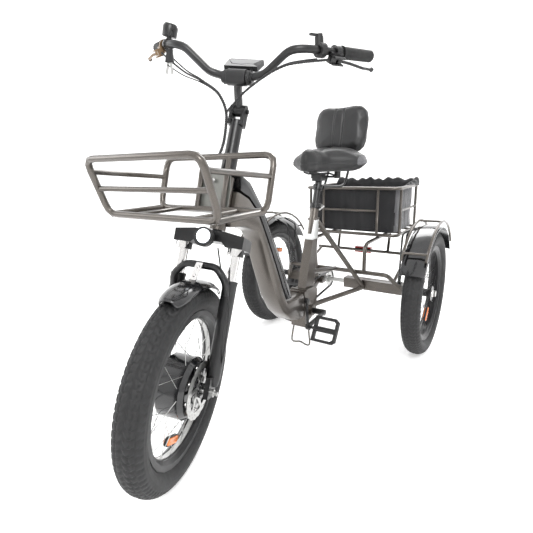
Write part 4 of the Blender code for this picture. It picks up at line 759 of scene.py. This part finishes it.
def build_backrest():
    """The backrest pad: two swollen panels either side of a sewn band, inside a seam round its edge."""
    mesh = inflate(nodes["backrest_pad"], 0.005, 0.008)
    smooth_mesh(mesh, 6)
    place = pad_axes()
    inverse = place.inverted()
    shape = bmesh.new()
    shape.from_mesh(mesh)
    bmesh.ops.subdivide_edges(shape, edges=shape.edges, cuts=1, use_grid_fill=True)
    for vertex in shape.verts:
        local = inverse @ vertex.co
        reach = max(abs(local.x) / 0.123, abs(local.z) / 0.103)
        if local.y < 0.004:
            local.y -= 0.009 * max(0.0, 1 - reach ** 2)
            groove = max(math.exp(-((local.x - c) / 0.0040) ** 2) for c in (-0.019, 0.019))
            band = 0.35 if abs(local.x) < 0.019 else 0.0
            local.y += 0.0085 * max(groove, band) * max(0.0, 1.0 - reach ** 5)
        seam = math.exp(-((local.y + 0.004) / 0.0024) ** 2)
        if reach > 0.85:
            local.x *= 1 - 0.016 * seam
            local.z *= 1 - 0.018 * seam
        vertex.co = place @ local
    shape.to_mesh(mesh)
    shape.free()
    mesh.shade_smooth()
    made = piece("backrest_cover", mesh, VINYL, "seat", ["backrest_pad"])


def pad_axes():
    """The pad's own axes: its width is level, and it leans back by the angle of its frame."""
    corners = [Vector(vertex.co) for vertex in nodes["backrest_pad"].data.vertices]
    centre = sum(corners, Vector()) / len(corners)
    return Matrix.Translation(centre) @ Matrix.Rotation(PAD_LEAN, 4, "X")


def build_liner():
    """The basket's liner: sagging sides and a floor, gathered on the left and folded over the rail."""
    low, high = (Vector(corner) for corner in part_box("basket_liner"))
    centre = (low + high) / 2
    half_x, half_y = (high.x - low.x) / 2, (high.y - low.y) / 2
    around, levels = 240, 26

    def outline(share, inset):
        """A point of a rounded rectangle, this share of the way round and this far inside it."""
        turn = 2 * math.pi * share
        power = 9.0
        c, s = math.cos(turn), math.sin(turn)
        scale = (abs(c) ** power + abs(s) ** power) ** (-1 / power)
        return Vector((c * scale * (half_x - inset), s * scale * (half_y - inset), 0))

    def cuff(share):
        """How far the cloth is folded out over the rail: over the back and the rear half of the left side."""
        point = outline(share, 0.0)
        back = max(0.0, min(1.0, (point.y / half_y - 0.86) / 0.10))
        left = max(0.0, min(1.0, (point.x / half_x - 0.90) / 0.06))
        left *= max(0.0, min(1.0, point.y / half_y + 0.3))
        return max(back, left)

    rows = []
    for level in range(levels + 1):
        height = level / levels
        row = []
        for k in range(around):
            share = k / around
            left = max(0.0, outline(share, 0.0).x / half_x - 0.95) / 0.05
            folds = math.sin(share * 2 * math.pi * 23 + 1.3 * math.sin(height * 4))
            folds += 0.6 * math.sin(share * 2 * math.pi * 41 + 2.1 * height)
            gather = left * 0.0030 * math.sin(share * 2 * math.pi * 88) * height ** 3
            slack = 0.0028 * math.sin(share * 2 * math.pi * 9 + height * 7) * math.sin(math.pi * height)
            inset = 0.0046 + 0.0035 * math.sin(math.pi * height) + 0.0009 * (folds + 1.6) + gather + slack
            point = outline(share, inset)
            dip = 0.005 * math.sin(share * 2 * math.pi * 4 + 0.7) + 0.002 * math.sin(share * 2 * math.pi * 13)
            z = low.z + 0.001 + (high.z - low.z - 0.006 + (dip - 0.006) * (1 - cuff(share))) * height
            row.append(Vector((centre.x + point.x, centre.y + point.y, z)))
        rows.append(row)
    for out, rise in ((0.0, 0.016), (0.008, 0.0215), (0.018, 0.019), (0.0235, 0.008), (0.024, -0.012)):
        row = []
        for k in range(around):
            share = k / around
            fold = cuff(share)
            ripple = 1 + 0.25 * math.sin(share * 2 * math.pi * 31) + 0.2 * math.sin(share * 2 * math.pi * 12)
            point = outline(share, -out * fold + (1 - fold) * 0.0075)
            z = high.z + (rise * (ripple if rise > 0 else 1.0) - 0.002) * fold - 0.0115 * (1 - fold)
            row.append(Vector((centre.x + point.x, centre.y + point.y, z)))
        rows.append(row)
    shape = bmesh.new()
    made = [[shape.verts.new(point) for point in row] for row in rows]
    for i in range(len(made) - 1):
        for k in range(around):
            after = (k + 1) % around
            shape.faces.new((made[i][k], made[i][after], made[i + 1][after], made[i + 1][k]))
    floor = [made[0]]
    for share in (0.8, 0.5, 0.2):
        ring = []
        for k, vertex in enumerate(made[0]):
            flat = centre.lerp(vertex.co, share)
            ripple = 0.0015 * math.sin(k * 0.23 + share * 9)
            ring.append(shape.verts.new((flat.x, flat.y, low.z + 0.0025 + ripple)))
        floor.append(ring)
    for first, second in zip(floor, floor[1:]):
        for k in range(around):
            after = (k + 1) % around
            shape.faces.new((first[k], first[after], second[after], second[k]))
    shape.faces.new(floor[-1])
    mesh = mesh_from(shape, "liner_bag", 180)
    bag = piece("liner_bag", mesh, CLOTH, "rear_frame", ["basket_liner"])
    mesh.materials.append(GREY_CLOTH)
    for face in mesh.polygons:
        on_left = face.center.x > centre.x + half_x * 0.93 and abs(face.center.y - centre.y) < half_y * 0.93
        if on_left and face.center.z < high.z - 0.006:
            face.material_index = 1
    thicken(bag, 0.0014)


# Cockpit details
def build_headlight():
    low, high = (Vector(corner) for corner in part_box("headlight"))
    local = STEER.inverted() @ ((low + high) / 2)
    spot = STEER @ Matrix.Translation((0, local.y - 0.0155, local.z))
    spot = spot @ Matrix.Rotation(math.radians(90), 4, "Z")
    profile = [(0.0001, -0.0045), (0.010, -0.0035), (0.0175, -0.0010), (0.0195, 0.003)]
    lens = turned("lamp_lens", profile, spot, 36, 60)
    piece("lamp_lens", lens, LENS, "steering")


ROUTE_RIGHT = [
    (-0.2455, -0.0655, 0.4925), (-0.215, -0.062, 0.472), (-0.168, -0.050, 0.446), (-0.101, -0.080, 0.409),
    (-0.053, -0.075, 0.385), (-0.032, -0.062, 0.364), (-0.021, -0.045, 0.338), (-0.017, -0.038, 0.303),
    (-0.015, -0.037, 0.251), (-0.023, -0.036, 0.205),
]
ROUTE_LEFT = [
    (0.2455, -0.0655, 0.4925), (0.220, -0.092, 0.472), (0.190, -0.112, 0.455), (0.150, -0.116, 0.443),
    (0.110, -0.106, 0.428), (0.070, -0.090, 0.408), (0.030, -0.070, 0.385), (0.002, -0.055, 0.360),
    (-0.021, -0.045, 0.336),
]


def smooth_route(points, spacing):
    """Points this far apart on a smooth curve through a cable's route."""
    points = [Vector(point) for point in points]
    ends = [points[0] * 2 - points[1]] + points + [points[-1] * 2 - points[-2]]
    fine = []
    for a, b, c, d in zip(ends, ends[1:], ends[2:], ends[3:]):
        for step in range(40):
            t = step / 40
            bend = (a * 2 - b * 5 + c * 4 - d) * t * t + (b * 3 - a - c * 3 + d) * t ** 3
            fine.append((b * 2 + (c - a) * t + bend) / 2)
    fine.append(points[-1])
    made, gone = [fine[0]], 0.0
    for first, second in zip(fine, fine[1:]):
        gone += (second - first).length
        if gone >= spacing:
            made.append(second)
            gone = 0.0
    return made


def cable_mesh(name, route, radius, wrap=0.0, pitch=0.0055, sides=12):
    """A cable along a route of points. With a wrap, a flat band winds round it in a spiral."""
    rows, side, length = [], Vector((0.3, 1.0, 0.2)), 0.0
    for k, point in enumerate(route):
        ahead = (route[min(k + 1, len(route) - 1)] - route[max(k - 1, 0)]).normalized()
        side = (side - ahead * side.dot(ahead)).normalized()
        up = ahead.cross(side)
        if k:
            length += (point - route[k - 1]).length
        row = []
        for j in range(sides):
            share = j / sides
            band = (length / pitch + share) % 1.0
            r = radius + (wrap if band < 0.62 else 0.0)
            turn = 2 * math.pi * share
            row.append(point + side * (r * math.cos(turn)) + up * (r * math.sin(turn)))
        rows.append(row)
    return grid_mesh(name, rows, False, True, True, 50)


def cable(name, points, radius, bodies, wrap=0.0, spacing=0.004, replaces=()):
    """A cable laid out in steer space that rides on one body; given two bodies, it is baked where it lies and
    rides on neither.
    """
    route = [STEER @ point for point in smooth_route(points, spacing)]
    made = linked(name, cable_mesh(name, route, radius, wrap))
    made.data.materials.append(PLASTIC)
    if len(bodies) == 1:
        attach(made, bodies[0])
    else:
        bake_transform(made)
    if replaces:
        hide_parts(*replaces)
    return made


def shifted(points, offset, fade=False):
    """The same route moved aside, or moved less and less towards its end."""
    last = len(points) - 1
    return [Vector(p) + Vector(offset) * ((1 - i / last) if fade else 1) for i, p in enumerate(points)]


def build_cables():
    """Cables from the levers to the stem, the wrapped bundle down it, and the lead to the front hub."""
    both = ("steering", "bar")
    cable("cable_wrap", ROUTE_RIGHT[3:], 0.0034, both, 0.0012, 0.0012, ["cable_loom"])
    cable("cable_right", ROUTE_RIGHT[:5], 0.0026, both)
    cable("cable_right_bell", shifted(ROUTE_RIGHT[:5], (0.004, 0.012, 0.016), True), 0.0020, both)
    cable("cable_right_light", shifted(ROUTE_RIGHT[1:5], (0.0, -0.012, -0.020), True), 0.0016, both)
    cable("cable_left", ROUTE_LEFT, 0.0024, both, 0.0010, 0.0012)
    cable("cable_left_throttle", shifted(ROUTE_LEFT[1:], (0.0, 0.010, 0.012), True), 0.0018, both)
    cable("motor_lead", [
        (0.034, -0.060, -0.052), (0.062, -0.082, -0.110), (0.100, -0.088, -0.190), (0.104, -0.070, -0.270),
        (0.100, -0.050, -0.330), (0.094, -0.036, -0.380),
    ], 0.0022, ("steering",))


def build_details():
    """The bolts on the front basket's plate."""
    low, high = (Vector(corner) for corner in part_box("basket_bracket"))
    for z in (0.35, 0.72):
        spot = Vector((0.0, low.y + 0.006 + (high.y - low.y) * 0.34 * z, low.z + (high.z - low.z) * z))
        matrix = Matrix.Translation(spot) @ Matrix.Rotation(math.radians(90), 4, "Z")
        profile = [(0.0001, -0.004), (0.0045, -0.0038), (0.0062, -0.0016), (0.0062, 0.002)]
        bolt = turned(f"plate_bolt_{int(z * 100)}", profile, matrix, 12)
        piece(f"plate_bolt_{int(z * 100)}", bolt, STEEL, "front_frame")


# Studio
def studio_white():
    """Seamless paper that glows a little, as a lit backdrop does."""
    made = Nodes("studio paper")
    fibre = made.noise(3.0, 2.0)
    colours = made.ramp(fibre, [(0.2, (0.90, 0.90, 0.90)), (0.8, (0.93, 0.93, 0.93))])
    made.link(colours, made.shader.inputs["Base Color"])
    made.link(colours, made.shader.inputs["Emission Color"])
    made.set(Emission_Strength=0.36, Roughness=0.9, Specular_IOR_Level=0.0)
    return made.material


def build_studio():
    """A pale floor that rises to a wall behind the trike, an even world light and three soft lamps."""
    rows = []
    for k in range(1, 40):
        radius = 0.4 * k
        row = []
        for degrees in range(0, 360, 6):
            turn = math.radians(degrees)
            wall = max(0.0, min(1.0, (92.0 - abs(degrees - 124.0)) / 20.0))
            reach = min(radius, 10.0) * wall + radius * (1 - wall)
            height = 0.28 * max(0.0, radius - 6.0) ** 2 * wall
            row.append((reach * math.cos(turn), reach * math.sin(turn), height))
        rows.append(row)
    floor = linked("floor", grid_mesh("floor", rows, False, True, False))
    shape = bmesh.new()
    shape.from_mesh(floor.data)
    bmesh.ops.holes_fill(shape, edges=[edge for edge in shape.edges if edge.is_boundary], sides=60)
    bmesh.ops.recalc_face_normals(shape, faces=shape.faces)
    bmesh.ops.reverse_faces(shape, faces=shape.faces)
    shape.to_mesh(floor.data)
    shape.free()
    floor.data.materials.append(studio_white())
    world = bpy.data.worlds.new("studio")
    world.use_nodes = True
    world.node_tree.nodes["Background"].inputs["Color"].default_value = (1.0, 1.0, 1.0, 1.0)
    world.node_tree.nodes["Background"].inputs["Strength"].default_value = 0.20
    bpy.context.scene.world = world
    bpy.context.scene.view_settings.view_transform = "Standard"
    lights = (
        ("key", (2.4, -3.2, 3.6), 1.6, 120.0), ("fill", (-3.4, -2.4, 2.2), 2.0, 36.0),
        ("rim", (-0.6, 3.2, 3.4), 2.0, 70.0),
    )
    target = Vector((0, 0, 0.5))
    for name, place, size, power in lights:
        data = bpy.data.lights.new(name, "AREA")
        data.energy = power
        data.size = size
        lamp = linked(name, data)
        lamp.location = place
        lamp.rotation_euler = (target - Vector(place)).to_track_quat("-Z", "Y").to_euler()


def build_camera():
    """The view from the front left, a little above the handlebar's height, with a wide lens."""
    azimuth, elevation, roll = math.radians(34.1), math.radians(14.5), math.radians(-1.54)
    flat = math.cos(elevation)
    away = Vector((math.sin(azimuth) * flat, -math.cos(azimuth) * flat, math.sin(elevation)))
    level = Vector((math.cos(azimuth), math.sin(azimuth), 0))
    upright = away.cross(level)
    right = math.cos(roll) * level + math.sin(roll) * upright
    up = -math.sin(roll) * level + math.cos(roll) * upright
    data = bpy.data.cameras.new("camera")
    data.sensor_width = 36.0
    data.lens = 27.0
    camera = linked("camera", data)
    place = Matrix.Translation((0.763, FRAME_SHIFT - 0.665, 0.851))
    camera.matrix_world = place @ Matrix((right, up, away)).transposed().to_4x4()
    bpy.context.scene.camera = camera


finish_cad_nodes()
build_camera()
build_wheels()
build_motor()
build_rotor()
build_front_fender()
build_patch()
build_saddle()
build_backrest()
build_liner()
build_headlight()
build_cables()
build_details()
build_studio()
